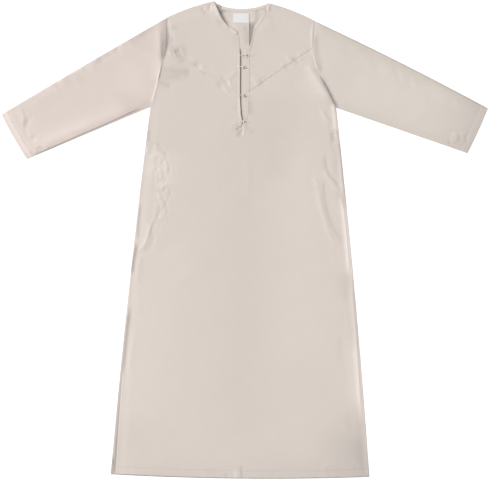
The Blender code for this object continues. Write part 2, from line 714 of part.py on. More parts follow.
def make_label():
    """The bare label below the back neckline."""
    low = WALL + SEAM_GAP
    outline = np.array((
        (LABEL_LEFT_X, LABEL_FOOT_Y), (LABEL_RIGHT_X, LABEL_FOOT_Y),
        (LABEL_RIGHT_X, LABEL_TOP_Y), (LABEL_LEFT_X, LABEL_TOP_Y),
    ), float)
    make_slab("neck_label", outline, low, low + LABEL_WALL, LABEL)


def front_top(x, y):
    """Height of the front's upper face at one place beside the slit."""
    plan = np.array(((x, y),), float)
    return float(front_underside(plan)[0]) + WALL + TURN_UP


def make_knot(name, fastening, ball_z):
    """A knotted button: a ball at the slit and the stem that lies on the front's left edge."""
    stem = np.linspace(-STEM_LENGTH, -BALL_RADIUS, 4)
    neck_angle = np.arcsin(STEM_RADIUS / BALL_RADIUS)
    ball = -BALL_RADIUS * np.cos(np.linspace(neck_angle, np.pi - neck_angle / 2, KNOT_SIDES))
    at = np.concatenate((stem[:-1], ball))
    radii = np.concatenate((
        np.full(len(stem) - 1, STEM_RADIUS),
        np.maximum(np.sqrt(BALL_RADIUS**2 - ball**2), STEM_RADIUS / 2),
    ))
    path = np.column_stack((fastening.ball_x + at, np.full(len(at), fastening.y), np.full(len(at), ball_z)))
    make_round(name, path, radii, CORD, KNOT_SIDES)


def make_loop(name, fastening, ball_z):
    """A cord loop that lies on the front's right edge and passes round the ball, under its stem."""
    ring = BALL_RADIUS + CORD_RADIUS + 1.5 * SEAM_GAP
    turn = np.radians(np.linspace(LOOP_OPENS_AT, 180, ARC_CELLS + 1))
    arc = np.column_stack((ring * np.cos(turn), ring * np.sin(turn)))
    halfway = (LOOP_REACH + WAIST_REACH) / 2
    tail = ((LOOP_REACH, TAIL_SPREAD), (halfway, TAIL_SPREAD), (WAIST_REACH, WAIST_SPREAD))
    half = smooth_path(np.vstack((tail, arc)), CORD_CELLS)
    plan = np.vstack((half, half[-2::-1] * (1, -1)))
    rest = max(front_top(fastening.ball_x + share * LOOP_REACH, fastening.y) for share in (0.5, 1))
    high = rest + SEAM_GAP + CORD_RADIUS
    low = ball_z - STEM_RADIUS - SEAM_GAP - CORD_RADIUS
    climb = smoothstep((plan[:, 0] + ring) / (LOOP_CLIMB_END + ring))
    path = np.column_stack((
        fastening.ball_x + plan[:, 0], fastening.y + plan[:, 1], low + (high - low) * climb,
    ))
    make_round(name, path, np.full(len(path), CORD_RADIUS), CORD, CORD_SIDES)


def make_fastenings():
    """Four buttons and the loops that hold them."""
    for number, fastening in enumerate(FASTENINGS, start=1):
        rest = max(front_top(x, fastening.y) for x in STEM_PLACES)
        ball_z = rest + SEAM_GAP + STEM_RADIUS
        make_knot(f"knot_{number}", fastening, ball_z)
        make_loop(f"loop_{number}", fastening, ball_z)


def main():
    """Every piece of the robe, in an empty scene."""
    for old in list(bpy.data.objects):
        bpy.data.objects.remove(old)
    make_back()
    make_front()
    make_yokes()
    make_sleeves()
    make_back_binding()
    make_guard()
    make_bags()
    make_label()
    make_fastenings()


main()
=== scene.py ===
"""A long collarless cotton robe, laid flat with its front up and its sleeves spread.

Each piece of cloth is a thin shell on the form of its solid. Sizes and tables hold millimetres in the
solids' frame, and become metres when a mesh is made: +X is to the right looking down at the front,
+Y runs to the neck and +Z is up. Left and right are as seen from above.
"""

import logging
from dataclasses import dataclass
from enum import Enum
from typing import Callable

import bpy
import numpy as np
from bpy.types import Material, Node, NodeSocket, NodeTree, Object
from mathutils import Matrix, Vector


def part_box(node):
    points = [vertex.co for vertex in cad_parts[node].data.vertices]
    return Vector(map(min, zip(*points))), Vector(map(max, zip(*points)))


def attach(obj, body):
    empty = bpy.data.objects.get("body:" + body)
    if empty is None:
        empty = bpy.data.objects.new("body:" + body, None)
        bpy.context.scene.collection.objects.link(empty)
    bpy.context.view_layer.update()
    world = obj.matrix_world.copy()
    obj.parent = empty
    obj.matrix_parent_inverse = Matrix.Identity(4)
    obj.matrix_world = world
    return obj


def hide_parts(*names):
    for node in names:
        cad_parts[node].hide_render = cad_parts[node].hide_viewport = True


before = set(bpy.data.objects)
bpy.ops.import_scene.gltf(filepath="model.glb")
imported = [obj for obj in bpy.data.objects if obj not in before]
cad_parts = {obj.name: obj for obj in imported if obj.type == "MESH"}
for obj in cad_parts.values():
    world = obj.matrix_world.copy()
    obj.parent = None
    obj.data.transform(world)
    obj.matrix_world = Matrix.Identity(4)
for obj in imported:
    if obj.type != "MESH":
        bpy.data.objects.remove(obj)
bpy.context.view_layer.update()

log = logging.getLogger("robe")

Array = np.ndarray
Point = tuple[float, float]
Body = tuple[Array, list]  # points and faces
Fields = tuple[Array, Array]  # heights and painted shade of plan points
Surface = Callable[[Array], Fields]

MM = 0.001
BODY = "root"
BELOW = "back_panel"
UP = np.array((0, 0, 1.0))
WHITE = (1, 1, 1, 1)
SHARP_ANGLE = 60.0
CREASE_CELLS = 20
LINE_CELLS = 60
EDGE_CELLS = 24
EDGE_CUTS = np.linspace(0, 1, EDGE_CELLS + 1)
LATTICE = (97, 89)
LATTICE_START = 500


class Slot(Enum):
    """Material slot names that each finish carries."""

    CLOTH = "cloth"
    BINDING = "binding"
    LABEL = "label"
    CORD = "cord"


class Side(Enum):
    """A half of the robe, by the way that is outwards along X."""

    LEFT = -1
    RIGHT = 1

    @property
    def word(self) -> str:
        """The side's name in the names of pieces."""
        return self.name.lower()


Finish = tuple[Material, Slot]


# ---- plan lines and profiles


def unit(vectors: Array) -> Array:
    """The same vectors at length 1."""
    return vectors / np.linalg.norm(vectors, axis=1)[:, None]


def smoothstep(t: Array) -> Array:
    """An S-shaped rise: 3t^2 - 2t^3, held at 0 and 1 outside."""
    t = np.clip(t, 0, 1)
    return t * t * (3 - 2 * t)


def soft_max(a: Array, b: Array | float, blend: float) -> Array:
    """The larger of two heights, rounded where they cross: half of a + b + sqrt((a - b)^2 + blend^2)."""
    return (a + b + np.sqrt((a - b) ** 2 + blend**2)) / 2


def ridge(aside: Array, width: float) -> Array:
    """The profile of a soft line: exp(-(aside / width)^2)."""
    return np.exp(-((aside / width) ** 2))


def roll(aside: Array, reach: float, drop: float) -> Array:
    """The fall of cloth over a folded edge, a quarter of an ellipse: drop * (1 - sqrt(1 - (1 - aside/reach)^2))."""
    t = np.clip(1 - aside / reach, 0, 1)
    return drop * (1 - np.sqrt(1 - t * t))


def steps(*spans: Point) -> Array:
    """Cuts along a length that is made of spans.

    Args:
        spans: each one's length and the cell that it is cut into.

    Returns:
        Shares of the whole length, from 0 to 1.
    """
    marks = [0.0]
    for length, cell in spans:
        count = max(1, round(length / cell))
        marks.extend((marks[-1] + length * np.arange(1, count + 1) / count).tolist())
    return np.array(marks) / marks[-1]


def walk(path: Array) -> tuple[Array, Array]:
    """The length of each leg of a path, and the distance walked to each of its points."""
    legs = np.linalg.norm(np.diff(path, axis=0), axis=1)
    return legs, np.concatenate(([0], np.cumsum(legs)))


def resampled(path: Array, shares: Array) -> Array:
    """Points at these shares of a path's length."""
    walked = walk(path)[1]
    return np.column_stack([np.interp(np.asarray(shares) * walked[-1], walked, column) for column in path.T])


def smooth_path(points: tuple | Array, cells: int = LINE_CELLS) -> Array:
    """A Catmull-Rom curve through the points, cut into equal lengths.

    Args:
        points: two or more points, plan or solid.
        cells: how many lengths it is cut into.

    Returns:
        cells + 1 points.
    """
    knots = np.array(points, float)
    padded = np.vstack((2 * knots[0] - knots[1], knots, 2 * knots[-1] - knots[-2]))
    t = np.linspace(0, 1, 17)[:-1, None]
    spans = [
        (2 * b + (c - a) * t + (2 * a - 5 * b + 4 * c - d) * t**2 + (3 * b - a - 3 * c + d) * t**3) / 2
        for a, b, c, d in zip(padded, padded[1:], padded[2:], padded[3:])
    ]
    return resampled(np.vstack((*spans, knots[-1:])), np.linspace(0, 1, cells + 1))


def bowed(start: Point, end: Point, bow: float, shares: Array) -> Array:
    """A straight line pushed aside by a parabola: start + along * t + across * bow * 4t(1 - t).

    Args:
        start: its first point.
        end: its last point.
        bow: how far its middle goes to the left of its walk.
        shares: the values of t.

    Returns:
        A point for each share.
    """
    along = np.subtract(end, start).astype(float)
    across = np.array((-along[1], along[0])) / np.linalg.norm(along)
    t = np.asarray(shares, float)[:, None]
    return np.array(start, float) + along * t + across * bow * 4 * t * (1 - t)


def measure(plan: Array, path: Array) -> tuple[Array, Array]:
    """Where plan points lie beside a broken line.

    Args:
        plan: points, one to a row.
        path: the line's points.

    Returns:
        The distance from the line, positive on the left of its walk, and the share of it walked.
    """
    legs, walked = walk(path)
    nearest = np.full(len(plan), np.inf)
    aside = np.zeros(len(plan))
    share = np.zeros(len(plan))
    for start, end, leg, before in zip(path[:-1], path[1:], legs, walked):
        along = (end - start) / leg
        offset = plan - start
        at = np.clip(offset @ along, 0, leg)
        gap = np.linalg.norm(offset - at[:, None] * along, axis=1)
        closer = gap < nearest
        nearest[closer] = gap[closer]
        turn = along[0] * offset[:, 1] - along[1] * offset[:, 0]
        aside[closer] = np.where(turn < 0, -gap, gap)[closer]
        share[closer] = ((before + at) / walked[-1])[closer]
    return aside, share


def distance(plan: Array, *paths: Array) -> Array:
    """The least distance from any of the broken lines."""
    return np.min([np.abs(measure(plan, path)[0]) for path in paths], axis=0)


def beside(path: Array, width: float) -> Array:
    """The same line moved to the left of its walk by a width."""
    along = np.gradient(path, axis=0)
    return path + unit(np.column_stack((-along[:, 1], along[:, 0]))) * width


def patch(near: Array, far: Array, first: Array, last: Array, across: Array, down: Array) -> Array:
    """A Coons patch: the two ruled surfaces between opposite edges, less the one between its corners.

    Args:
        near: the edge at across = 0, running down.
        far: the edge at across = 1.
        first: the edge at down = 0, running across.
        last: the edge at down = 1.
        across: shares of the columns.
        down: shares of the rows.

    Returns:
        Plan points as rows x columns x 2.
    """
    u = across[None, :, None]
    v = down[:, None, None]
    ruled = (1 - u) * near[:, None] + u * far[:, None] + (1 - v) * first[None] + v * last[None]
    corners = (1 - v) * ((1 - u) * near[0] + u * far[0]) + v * ((1 - u) * near[-1] + u * far[-1])
    return ruled - corners


# ---- creases and small waves


@dataclass(frozen=True)
class Crease:
    """A fold pressed or drawn into the cloth, with its own half-width on each side of its line.

    Its profile is exp(-|aside / half-width|^1.6), faded in and out over a share of its line. The
    height is negative in a trough. shade is painted shade that darkens the cloth's colour, or a
    painted highlight that lightens it where negative; a crease of no height is only painted light
    or shade.
    """

    points: tuple[Point, ...]
    height: float
    left: float
    right: float
    shade: float
    fade: float

    def bell(self, plan: Array) -> Array:
        """The profile's share of the height.

        Args:
            plan: points, one to a row.

        Returns:
            A share for each point.
        """
        path = smooth_path(self.points, CREASE_CELLS if len(self.points) > 2 else 2)
        reach = 3 * max(self.left, self.right)
        near = np.all((plan > path.min(axis=0) - reach) & (plan < path.max(axis=0) + reach), axis=1)
        bell = np.zeros(len(plan))
        if near.any():
            aside, share = measure(plan[near], path)
            width = np.where(aside > 0, self.left, self.right)
            bell[near] = np.exp(-(np.abs(aside / width) ** 1.6))
            if self.fade:
                bell[near] *= smoothstep(share / self.fade) * smoothstep((1 - share) / self.fade)
        return bell


def creases(*rows: tuple[float, ...]) -> tuple[Crease, ...]:
    """Creases from rows of height, left and right half-width, shade and fade, then x and y of each point."""
    return tuple(Crease(tuple(zip(row[5::2], row[6::2])), *row[:5]) for row in rows)


@dataclass(frozen=True)
class Rumple:
    """Small soft waves: a seeded lattice of random heights, joined by S-shaped rises.

    along and across are the lattice's cell, turned by so many degrees. Where within is given, the
    waves keep to that crease's own profile. tint is the painted shade for each unit of depth,
    darker in the waves' troughs and lighter on their crests.
    """

    along: float
    across: float
    height: float
    turn: float
    seed: int
    tint: float = 0.0
    within: Crease | None = None

    def at(self, plan: Array) -> Array:
        """The waves' heights.

        Args:
            plan: points, one to a row.

        Returns:
            A height for each point.
        """
        angle = np.radians(self.turn)
        axes = np.array(((np.cos(angle), -np.sin(angle)), (np.sin(angle), np.cos(angle))))
        cell = plan @ axes / (self.along, self.across) + LATTICE_START
        corner = np.floor(cell).astype(int)
        u, v = smoothstep(cell - corner).T
        lattice = np.random.default_rng(self.seed).uniform(-1, 1, LATTICE)
        (i, j), (i2, j2) = (corner % LATTICE).T, ((corner + 1) % LATTICE).T
        wave = (1 - u) * ((1 - v) * lattice[i, j] + v * lattice[i, j2])
        wave += u * ((1 - v) * lattice[i2, j] + v * lattice[i2, j2])
        if self.within:
            wave *= self.within.bell(plan)
        return self.height * wave


def folded(plan: Array, lines: tuple[Crease, ...], rumples: tuple[Rumple, ...] = ()) -> Fields:
    """The sum of creases and small waves.

    Args:
        plan: points, one to a row.
        lines: the creases.
        rumples: the small waves.

    Returns:
        Heights and painted shade at each point.
    """
    height = np.zeros(len(plan))
    shade = np.zeros(len(plan))
    for rumple in rumples:
        wave = rumple.at(plan)
        height += wave
        # painted shade: darker in the waves' troughs, lighter on their crests
        shade -= rumple.tint * wave
    for crease in lines:
        bell = crease.bell(plan)
        height += crease.height * bell
        # painted shade and painted highlights along each crease
        shade += crease.shade * bell
    return height, shade


# ---- the robe's cut


@dataclass(frozen=True)
class Half:
    """The plan lines of one half of the robe."""

    side: Side
    neck_point: Point
    shoulder_bow: float
    armhole_upper: tuple[Point, ...]
    armhole_lower: tuple[Point, ...]
    hem_end: Point
    side_bow: float
    tuck: float
    neckline: tuple[Point, ...]
    slit_upper: tuple[Point, ...]
    slit_lower: tuple[Point, ...]
    sleeve_top_end: Point
    sleeve_top_bow: float
    sleeve_foot_end: Point
    cuff_bow: float
    armhole_groove: float
    groove_foot: float
    v_groove: float
    hem_rise: float = 1.5
    tuck_from: float = 0.5

    def aside(self, line: Array, width: float) -> Array:
        """A line that runs down this half, moved outwards by a width."""
        return beside(line, self.side.value * width)

    def neck(self, cells: int = LINE_CELLS) -> Array:
        """The neckline from the neck point to the slit."""
        return smooth_path(self.neckline, cells)

    def shoulder(self, shares: Array) -> Array:
        """The shoulder fold from the neck point outwards."""
        return bowed(self.neck_point, self.armhole_upper[0], self.shoulder_bow, shares)

    def back_side(self, shares: Array) -> Array:
        """The back's side from the armpit to the hem."""
        return bowed(self.armhole_lower[-1], self.hem_end, self.side_bow, shares)

    def front_side(self, shares: Array) -> Array:
        """The front's side, tucked in from the back's towards the hem.

        Args:
            shares: shares of its length from the armpit down.

        Returns:
            A point for each share.
        """
        t = np.asarray(shares, float)
        plan = self.back_side(t)
        tucked = np.clip((t - self.tuck_from) / (1 - self.tuck_from), 0, 1)
        plan[:, 0] -= self.side.value * self.tuck * tucked
        plan[:, 1] += self.hem_rise * t
        return plan

    def armhole(self, cells: int) -> Array:
        """The whole armhole from the shoulder to the armpit."""
        return smooth_path(self.armhole_upper[:-1] + self.armhole_lower, cells)

    def slit(self, cells: int) -> Array:
        """The slit's edge from the neckline to its foot."""
        return smooth_path(self.slit_upper[:-1] + self.slit_lower, cells)

    def sleeve_lines(self, shares: Array) -> tuple[Array, Array]:
        """The sleeve's two folded edges, top and foot, from the armhole to the cuff."""
        top = bowed(self.armhole_upper[0], self.sleeve_top_end, self.sleeve_top_bow, shares)
        return top, bowed(self.armhole_lower[-1], self.sleeve_foot_end, 0, shares)

    def cuff(self, shares: Array) -> Array:
        """The cuff's edge from the top fold to the foot fold."""
        return bowed(self.sleeve_top_end, self.sleeve_foot_end, self.cuff_bow, shares)

    def v_seam(self, shares: Array) -> Array:
        """The seam between yoke and front panel, from the armhole to the slit."""
        return bowed(self.armhole_upper[-1], self.slit_upper[-1], 0, shares)


LEFT = Half(
    side=Side.LEFT,
    neck_point=(-92, 735),
    shoulder_bow=-4.5,
    armhole_upper=((-236, 685), (-236, 655), (-238, 591)),
    armhole_lower=(
        (-238, 591), (-240, 574), (-250, 545), (-256, 530), (-265, 493), (-274, 456), (-287, 411),
    ),
    hem_end=(-409, -718),
    side_bow=-5.5,
    tuck=15,
    neckline=((-92, 735), (-80, 709), (-72, 691), (-62, 675), (-50, 661), (-34, 650), (-19, 640)),
    slit_upper=((-19, 640), (-14.5, 610), (-12, 554), (-12.5, 449)),
    slit_lower=((-12.5, 449), (-9.5, 391), (-5.5, 367), (-10, 344)),
    sleeve_top_end=(-744, 387),
    sleeve_top_bow=-1.5,
    sleeve_foot_end=(-666, 250),
    cuff_bow=-2.5,
    armhole_groove=0.6,
    groove_foot=560,
    v_groove=0.04,
)
RIGHT = Half(
    side=Side.RIGHT,
    neck_point=(77, 729),
    shoulder_bow=4.5,
    armhole_upper=((218, 674), (214, 640), (211, 590)),
    armhole_lower=((211, 590), (214, 545), (234, 505), (257, 468), (283, 408)),
    hem_end=(385, -726),
    side_bow=6,
    tuck=0,
    neckline=((77, 729), (65, 711), (56, 695), (46, 678), (36, 663), (29, 652)),
    slit_upper=((29, 652), (27, 634), (22, 609), (15, 591), (12, 560), (11, 453)),
    slit_lower=((11, 453), (8, 391), (0, 367), (-10, 344)),
    sleeve_top_end=(749, 406),
    sleeve_top_bow=4.5,
    sleeve_foot_end=(686, 268),
    cuff_bow=2,
    armhole_groove=0.2,
    groove_foot=380,
    v_groove=0.62,
)
HALVES = (LEFT, RIGHT)
HEM_BOW = -9.0
BACK_NECKLINE = (
    LEFT.neck_point, (-81, 727), (-61, 718), (-33, 713), (-9, 711.5), (25, 713.5), (56, 721), RIGHT.neck_point,
)


def front_hem(shares: Array) -> Array:
    """The front's hem from left to right."""
    return bowed(*(half.front_side([1])[0] for half in HALVES), HEM_BOW, shares)


def from_edges(plan: Array) -> Array:
    """The distance from the folded edges of the body, its sides and shoulders."""
    return distance(plan, *(line(EDGE_CUTS) for half in HALVES for line in (half.front_side, half.shoulder)))


# ---- how the cloth lies

# A row holds height, left and right half-width, painted shade (a painted highlight where negative) and fade, and
# then x and y of each point.

# Creases of the chest, the yokes and the armholes, with painted shade and painted highlights along them
CHEST = creases(
    (-1.5, 5, 17, 0.13, 0.12, -236, 695, -237, 655, -239, 625, -240, 597, -243, 569, -248, 539),
    (-0.5, 4, 3, 0.26, 0.25, -234, 671, -234, 646, -234, 625, -235, 603, -237, 576),
    (-0.6, 5, 7, 0.14, 0.2, -243, 622, -247, 591, -250, 551),
    (0, 5, 5, 0.2, 0.2, -232, 646, -233, 622, -236, 600, -240, 579, -245, 554),
    (1.1, 3, 4, -0.15, 0.12, -253, 536, -260, 508, -267, 477, -275, 447, -283, 416),
    (1.2, 12, 9, 0, 0.25, -221, 677, -223, 634, -225, 597),
    (0, 8, 8, -0.12, 0.2, -218, 652, -216, 616, -219, 591),
    (0, 12, 14, 0.12, 0.25, -196, 609, -191, 591, -194, 566, -188, 536),
    (-0.8, 10, 10, 0.04, 0.3, -224, 628, -215, 603, -208, 585),
    (-2.4, 8, 8, 0.17, 0.1, -211, 576, -204, 581, -196, 584),
    (1.2, 5, 4, -0.05, 0.2, -193, 593, -188, 580, -185, 563),
    (-1, 4, 4, 0.08, 0, -200, 564, -194, 568),
    (0.9, 6, 5, -0.04, 0.2, -232, 597, -228, 582, -225, 563),
    (1.3, 12, 15, 0, 0.3, -248, 536, -208, 527, -165, 519),
    (0, 14, 14, 0.11, 0.1, -255, 527, -208, 522, -165, 514),
    (0, 10, 10, 0.08, 0.1, -259, 502, -227, 500, -190, 505),
    (-0.4, 8, 8, 0.12, 0.12, -262, 485, -245, 480, -224, 474),
    (1.1, 5, 5, -0.03, 0, -159, 556, -150, 548),
    (-1.4, 5, 5, 0.08, 0, -149, 541, -141, 535),
    (1.1, 4, 4, -0.05, 0, -129, 530, -122, 520),
    (-1.2, 4, 4, 0.08, 0, -122, 514, -116, 509),
    (0.7, 3, 3, -0.04, 0, -115, 525, -113, 515),
    (-1.6, 6, 6, 0.08, 0, -76, 482, -69, 471),
    (1.1, 5, 5, -0.04, 0, -61, 471, -49, 456),
    (-1.1, 5, 5, 0.05, 0, -64, 496, -52, 484),
    (1.3, 4, 4, -0.05, 0, -44, 490, -39, 471),
    (0.6, 3, 3, -0.03, 0, -33, 484, -29, 468),
    (1, 6, 7, -0.01, 0.25, -21, 522, -43, 500, -64, 496),
    (-0.6, 3, 3, 0.3, 0, -28, 663, -25, 659),
    (-1.6, 4.5, 4, 0.3, 0.12, -11, 353, -18, 345, -26, 339),
    (-1.2, 5, 5, 0.2, 0.15, -10, 339, -14, 330, -20, 318),
    (1.2, 4, 4, -0.12, 0.12, 0, 358, 0, 318),
    (-0.9, 3.4, 3.4, 0.12, 0.2, 6, 361, 14, 339),
    (0, 3, 3, 0.35, 0, -3, 366, 6, 366),
    (-0.6, 6, 6, 0.07, 0.2, 22, 342, 26, 324),
    (0.7, 5, 5, -0.02, 0, -23, 365, -40, 348),
    (-0.9, 7, 6, 0.12, 0.2, 16, 434, 20, 410, 22, 382),
    (-0.5, 6, 6, 0.06, 0.3, -28, 422, -25, 394),
    (0.3, 2.4, 2.4, -0.1, 0.15, -15, 441, -14, 394, -16, 373),
    (0.6, 3, 3, -0.05, 0.2, -33, 456, -35, 434),
    (0.4, 2.6, 2.6, -0.14, 0.1, 12, 566, 11, 477, 11, 416, 8, 370),
    (1, 5, 5, -0.05, 0, 31, 493, 39, 477),
    (-1.3, 5, 5, 0.1, 0, 52, 491, 60, 480),
    (-0.6, 4, 4, 0.05, 0, 63, 501, 68, 496),
    (0.8, 4, 4, -0.04, 0, 118, 542, 122, 536),
    (-1.1, 5, 5, 0.09, 0, 125, 534, 134, 525),
    (-1.4, 6, 6, 0.1, 0, 154, 556, 166, 546),
    (0.9, 6, 6, -0.04, 0, 135, 560, 145, 551),
    (0.9, 5, 5, -0.04, 0, 170, 571, 175, 558),
    (1, 3.4, 3.4, -0.09, 0.12, 214, 671, 210, 640, 210, 603, 213, 573, 220, 545, 231, 519),
    (-1.8, 14, 9, 0.17, 0.2, 226, 637, 229, 591, 235, 548, 243, 505),
    (-1.3, 6, 3.6, 0.5, 0.28, 229, 515, 236, 502, 249, 479, 263, 454, 275, 429, 287, 409, 298, 388),
    (2.2, 8, 16, -0.06, 0.22, 195, 548, 209, 520, 227, 490, 247, 456, 266, 422),
    (-1, 4, 4, 0.12, 0.2, -130, 714, -115, 695),
    (-0.9, 3, 3, 0.12, 0.2, -107, 725, -105, 705),
    (0.9, 3, 3, -0.12, 0.2, -98, 726, -97, 701),
    (0.8, 3, 3, -0.1, 0.2, -116, 720, -121, 701),
    (0.5, 2.6, 2.6, -0.08, 0.2, -90, 723, -87, 705, -80, 689),
    (-0.6, 4, 4, 0.05, 0.2, -95, 698, -84, 680, -67, 659),
    (-0.9, 3.4, 3, 0.18, 0.2, 67, 721, 68, 697),
    (0.8, 3, 3, -0.1, 0.2, 75, 721, 75, 695),
    (-0.7, 3, 3, 0.1, 0.2, 83, 720, 85, 698),
    (1.2, 22, 24, 0, 0.3, 95, 671, 43, 643),
)

# Creases of the skirt: pocket outlines, flank folds and edges, with painted shade and painted highlights along them
SKIRT = creases(
    (0.5, 12, 12, 0, 0.3, 6, 302, 13, 216, 10, 124),
    (0, 3, 3.6, 0.14, 0.1, -289, 394, -301, 302, -310, 229, -320, 124),
    (0, 5, 5, 0.13, 0.2, -292, 345, -293, 299),
    (-0.8, 4, 4, 0.06, 0.15, -266, 305, -259, 290, -245, 272, -233, 255),
    (1, 6, 6, -0.02, 0.2, -274, 290, -262, 269, -245, 251),
    (-0.6, 7, 6, 0.02, 0.2, -277, 309, -282, 284, -291, 256),
    (1, 5, 5, -0.06, 0.2, -296, 287, -298, 266),
    (1, 4, 4, -0.04, 0.2, -242, 243, -236, 229, -241, 213),
    (-0.6, 3.4, 3.4, 0.01, 0.2, -233, 238, -229, 220, -231, 201),
    (-0.5, 3.4, 3.4, 0.02, 0.2, -255, 216, -247, 198, -251, 177),
    (0.8, 4, 4, -0.02, 0.2, -257, 223, -254, 192),
    (1, 3.5, 3.5, -0.06, 0.15, -255, 154, -247, 168, -234, 177),
    (-0.8, 3.5, 3.5, 0.05, 0.2, -248, 149, -238, 164),
    (-0.9, 4, 4, 0.05, 0.2, -230, 164, -226, 149, -224, 134),
    (0.8, 4, 5, -0.02, 0.2, -266, 155, -258, 127, -248, 94, -242, 63, -239, 35),
    (-0.8, 3.4, 3.4, 0.04, 0.2, -251, 137, -238, 109, -234, 81),
    (-0.7, 3.4, 3.4, 0.04, 0.2, -255, 112, -247, 78, -240, 38),
    (-0.8, 4, 4, 0.03, 0.15, -255, 115, -259, 84, -270, 57, -281, 34, -290, 8),
    (1.6, 4, 7, -0.06, 0.15, -286, 54, -292, 23, -301, -5, -310, -21, -328, -30),
    (-0.8, 6, 6, 0.04, 0.2, -275, 32, -280, -2, -291, -25, -305, -35),
    (-1, 5, 5, 0.14, 0.15, -315, 115, -320, 57, -324, 2),
    (-1, 6, 6, 0.32, 0.2, -325, -5, -332, -35, -339, -69, -344, -109),
    (1, 8, 8, 0.03, 0.25, -315, -41, -322, -78, -328, -143),
    (0, 6, 8, 0.32, 0.2, -347, -192, -357, -259, -366, -336, -375, -428),
    (0.9, 8, 8, -0.03, 0.25, -336, -275, -347, -342, -356, -428),
    (1, 5, 6, -0.05, 0.15, 237, 396, 249, 380, 269, 356),
    (-0.6, 5, 5, 0.05, 0.2, 246, 401, 261, 379, 275, 361),
    (1.2, 5, 10, -0.3, 0.12, 275, 419, 281, 376, 286, 336),
    (1, 3, 7, -0.05, 0.15, 288, 345, 296, 278, 303, 201, 309, 124),
    (0, 7, 14, -0.19, 0.2, 305, 137, 316, 32, 324, -66, 331, -137),
    (0, 7, 14, -0.14, 0.2, 346, -299, 354, -413, 360, -496, 364, -576),
    (0, 5, 5, -0.08, 0.1, 364, -569, 377, -723),
    (0, 8, 26, -0.05, 0.25, 332, -299, 344, -382, 353, -465, 359, -536),
    (-1.1, 6, 6, 0.1, 0.2, 269, 333, 274, 315, 274, 296),
    (0.9, 4, 4, -0.06, 0.2, 282, 340, 286, 315),
    (-1.3, 6, 7, 0.09, 0.15, 250, 267, 254, 235, 261, 207, 280, 184, 298, 161),
    (1, 6, 6, -0.03, 0.2, 248, 223, 258, 196, 277, 173, 298, 150),
    (-1.1, 14, 5, 0.07, 0.15, 245, 195, 248, 149, 254, 106, 267, 60, 289, 17, 312, -20),
    (1, 6, 10, -0.03, 0.2, 227, 173, 235, 115, 251, 57, 270, 6, 289, -23),
    (1, 5, 5, -0.03, 0.2, 214, 192, 231, 161),
    (0, 3, 3, 0.26, 0.15, 293, 315, 301, 232, 309, 155, 317, 81),
    (0, 12, 9, -0.07, 0.2, 285, 278, 294, 198, 302, 130),
    (1.6, 3.5, 8, -0.14, 0.15, 296, 146, 308, 81, 319, -29, 326, -109),
    (1.9, 4, 12, -0.12, 0.18, 327, -66, 338, -183, 347, -321, 354, -444, 361, -551),
    (-0.5, 12, 12, 0.02, 0.3, 292, -275, 301, -336, 309, -410),
    (-0.5, 12, 12, 0.04, 0.3, 313, -520, 326, -563, 332, -603),
    (0, 30, 26, 0.06, 0.3, 307, -84, 317, -201),
    (0, 26, 26, 0.06, 0.3, 344, -588, 363, -723),
    (0.6, 7, 7, -0.01, 0.3, -196, -717, -165, -689),
    (0.6, 4, 4, -0.09, 0.1, -120, -708, -118, -732),
    (-0.5, 3, 3, 0.09, 0.1, -111, -705, -110, -732),
    (-0.6, 5, 5, 0.04, 0.2, -95, -698, -86, -717),
    (-0.5, 3, 3, 0.1, 0.1, -57, -714, -53, -732),
    (0.6, 3, 3, -0.1, 0.1, -49, -705, -46, -732),
    (-0.5, 3, 3, 0.08, 0.1, -38, -701, -35, -732),
    (0.6, 7, 7, -0.09, 0.1, -25, -705, -22, -732),
    (-0.8, 4, 4, 0.13, 0.12, -9, -689, -6, -711, -4, -732),
)

# Broad painted light and shade over the body: lighter on both flanks, darker down the middle, at the lower right
# corner and along the hem, with a painted highlight along the right edge
BROAD_PAINTED_LIGHT = creases(
    (0, 95, 95, -0.045, 0.15, -297, 309, -362, -612),
    (0, 110, 110, -0.02, 0.2, -227, -60, -288, -612),
    (0, 90, 90, -0.03, 0.2, 172, 339, 172, -428),
    (0, 85, 85, 0.03, 0.15, -3, 493, -3, -705),
    (0, 60, 60, 0.035, 0.2, 95, 474, 95, 155),
    (0, 30, 30, -0.05, 0.2, 197, 517, 218, 437),
    (0, 50, 50, 0.035, 0, 68, -705, 280, -705),
    (0, 40, 30, -0.04, 0.2, -239, 284, -239, 161),
    (0, 60, 60, -0.03, 0.2, -242, -14, -165, -115),
    (0, 34, 24, -0.06, 0.2, -288, 290, -291, 192),
    (0, 2.6, 3, -0.2, 0.05, 286, 391, 304, 216, 326, -29, 349, -275, 369, -520, 383, -705),
    (0, 85, 85, 0.14, 0, 332, -637, 378, -726),
    (0, 46, 46, 0.05, 0.05, -350, -726, 375, -729),
    (0, 50, 50, 0.02, 0, -264, 600, -221, 631),
)
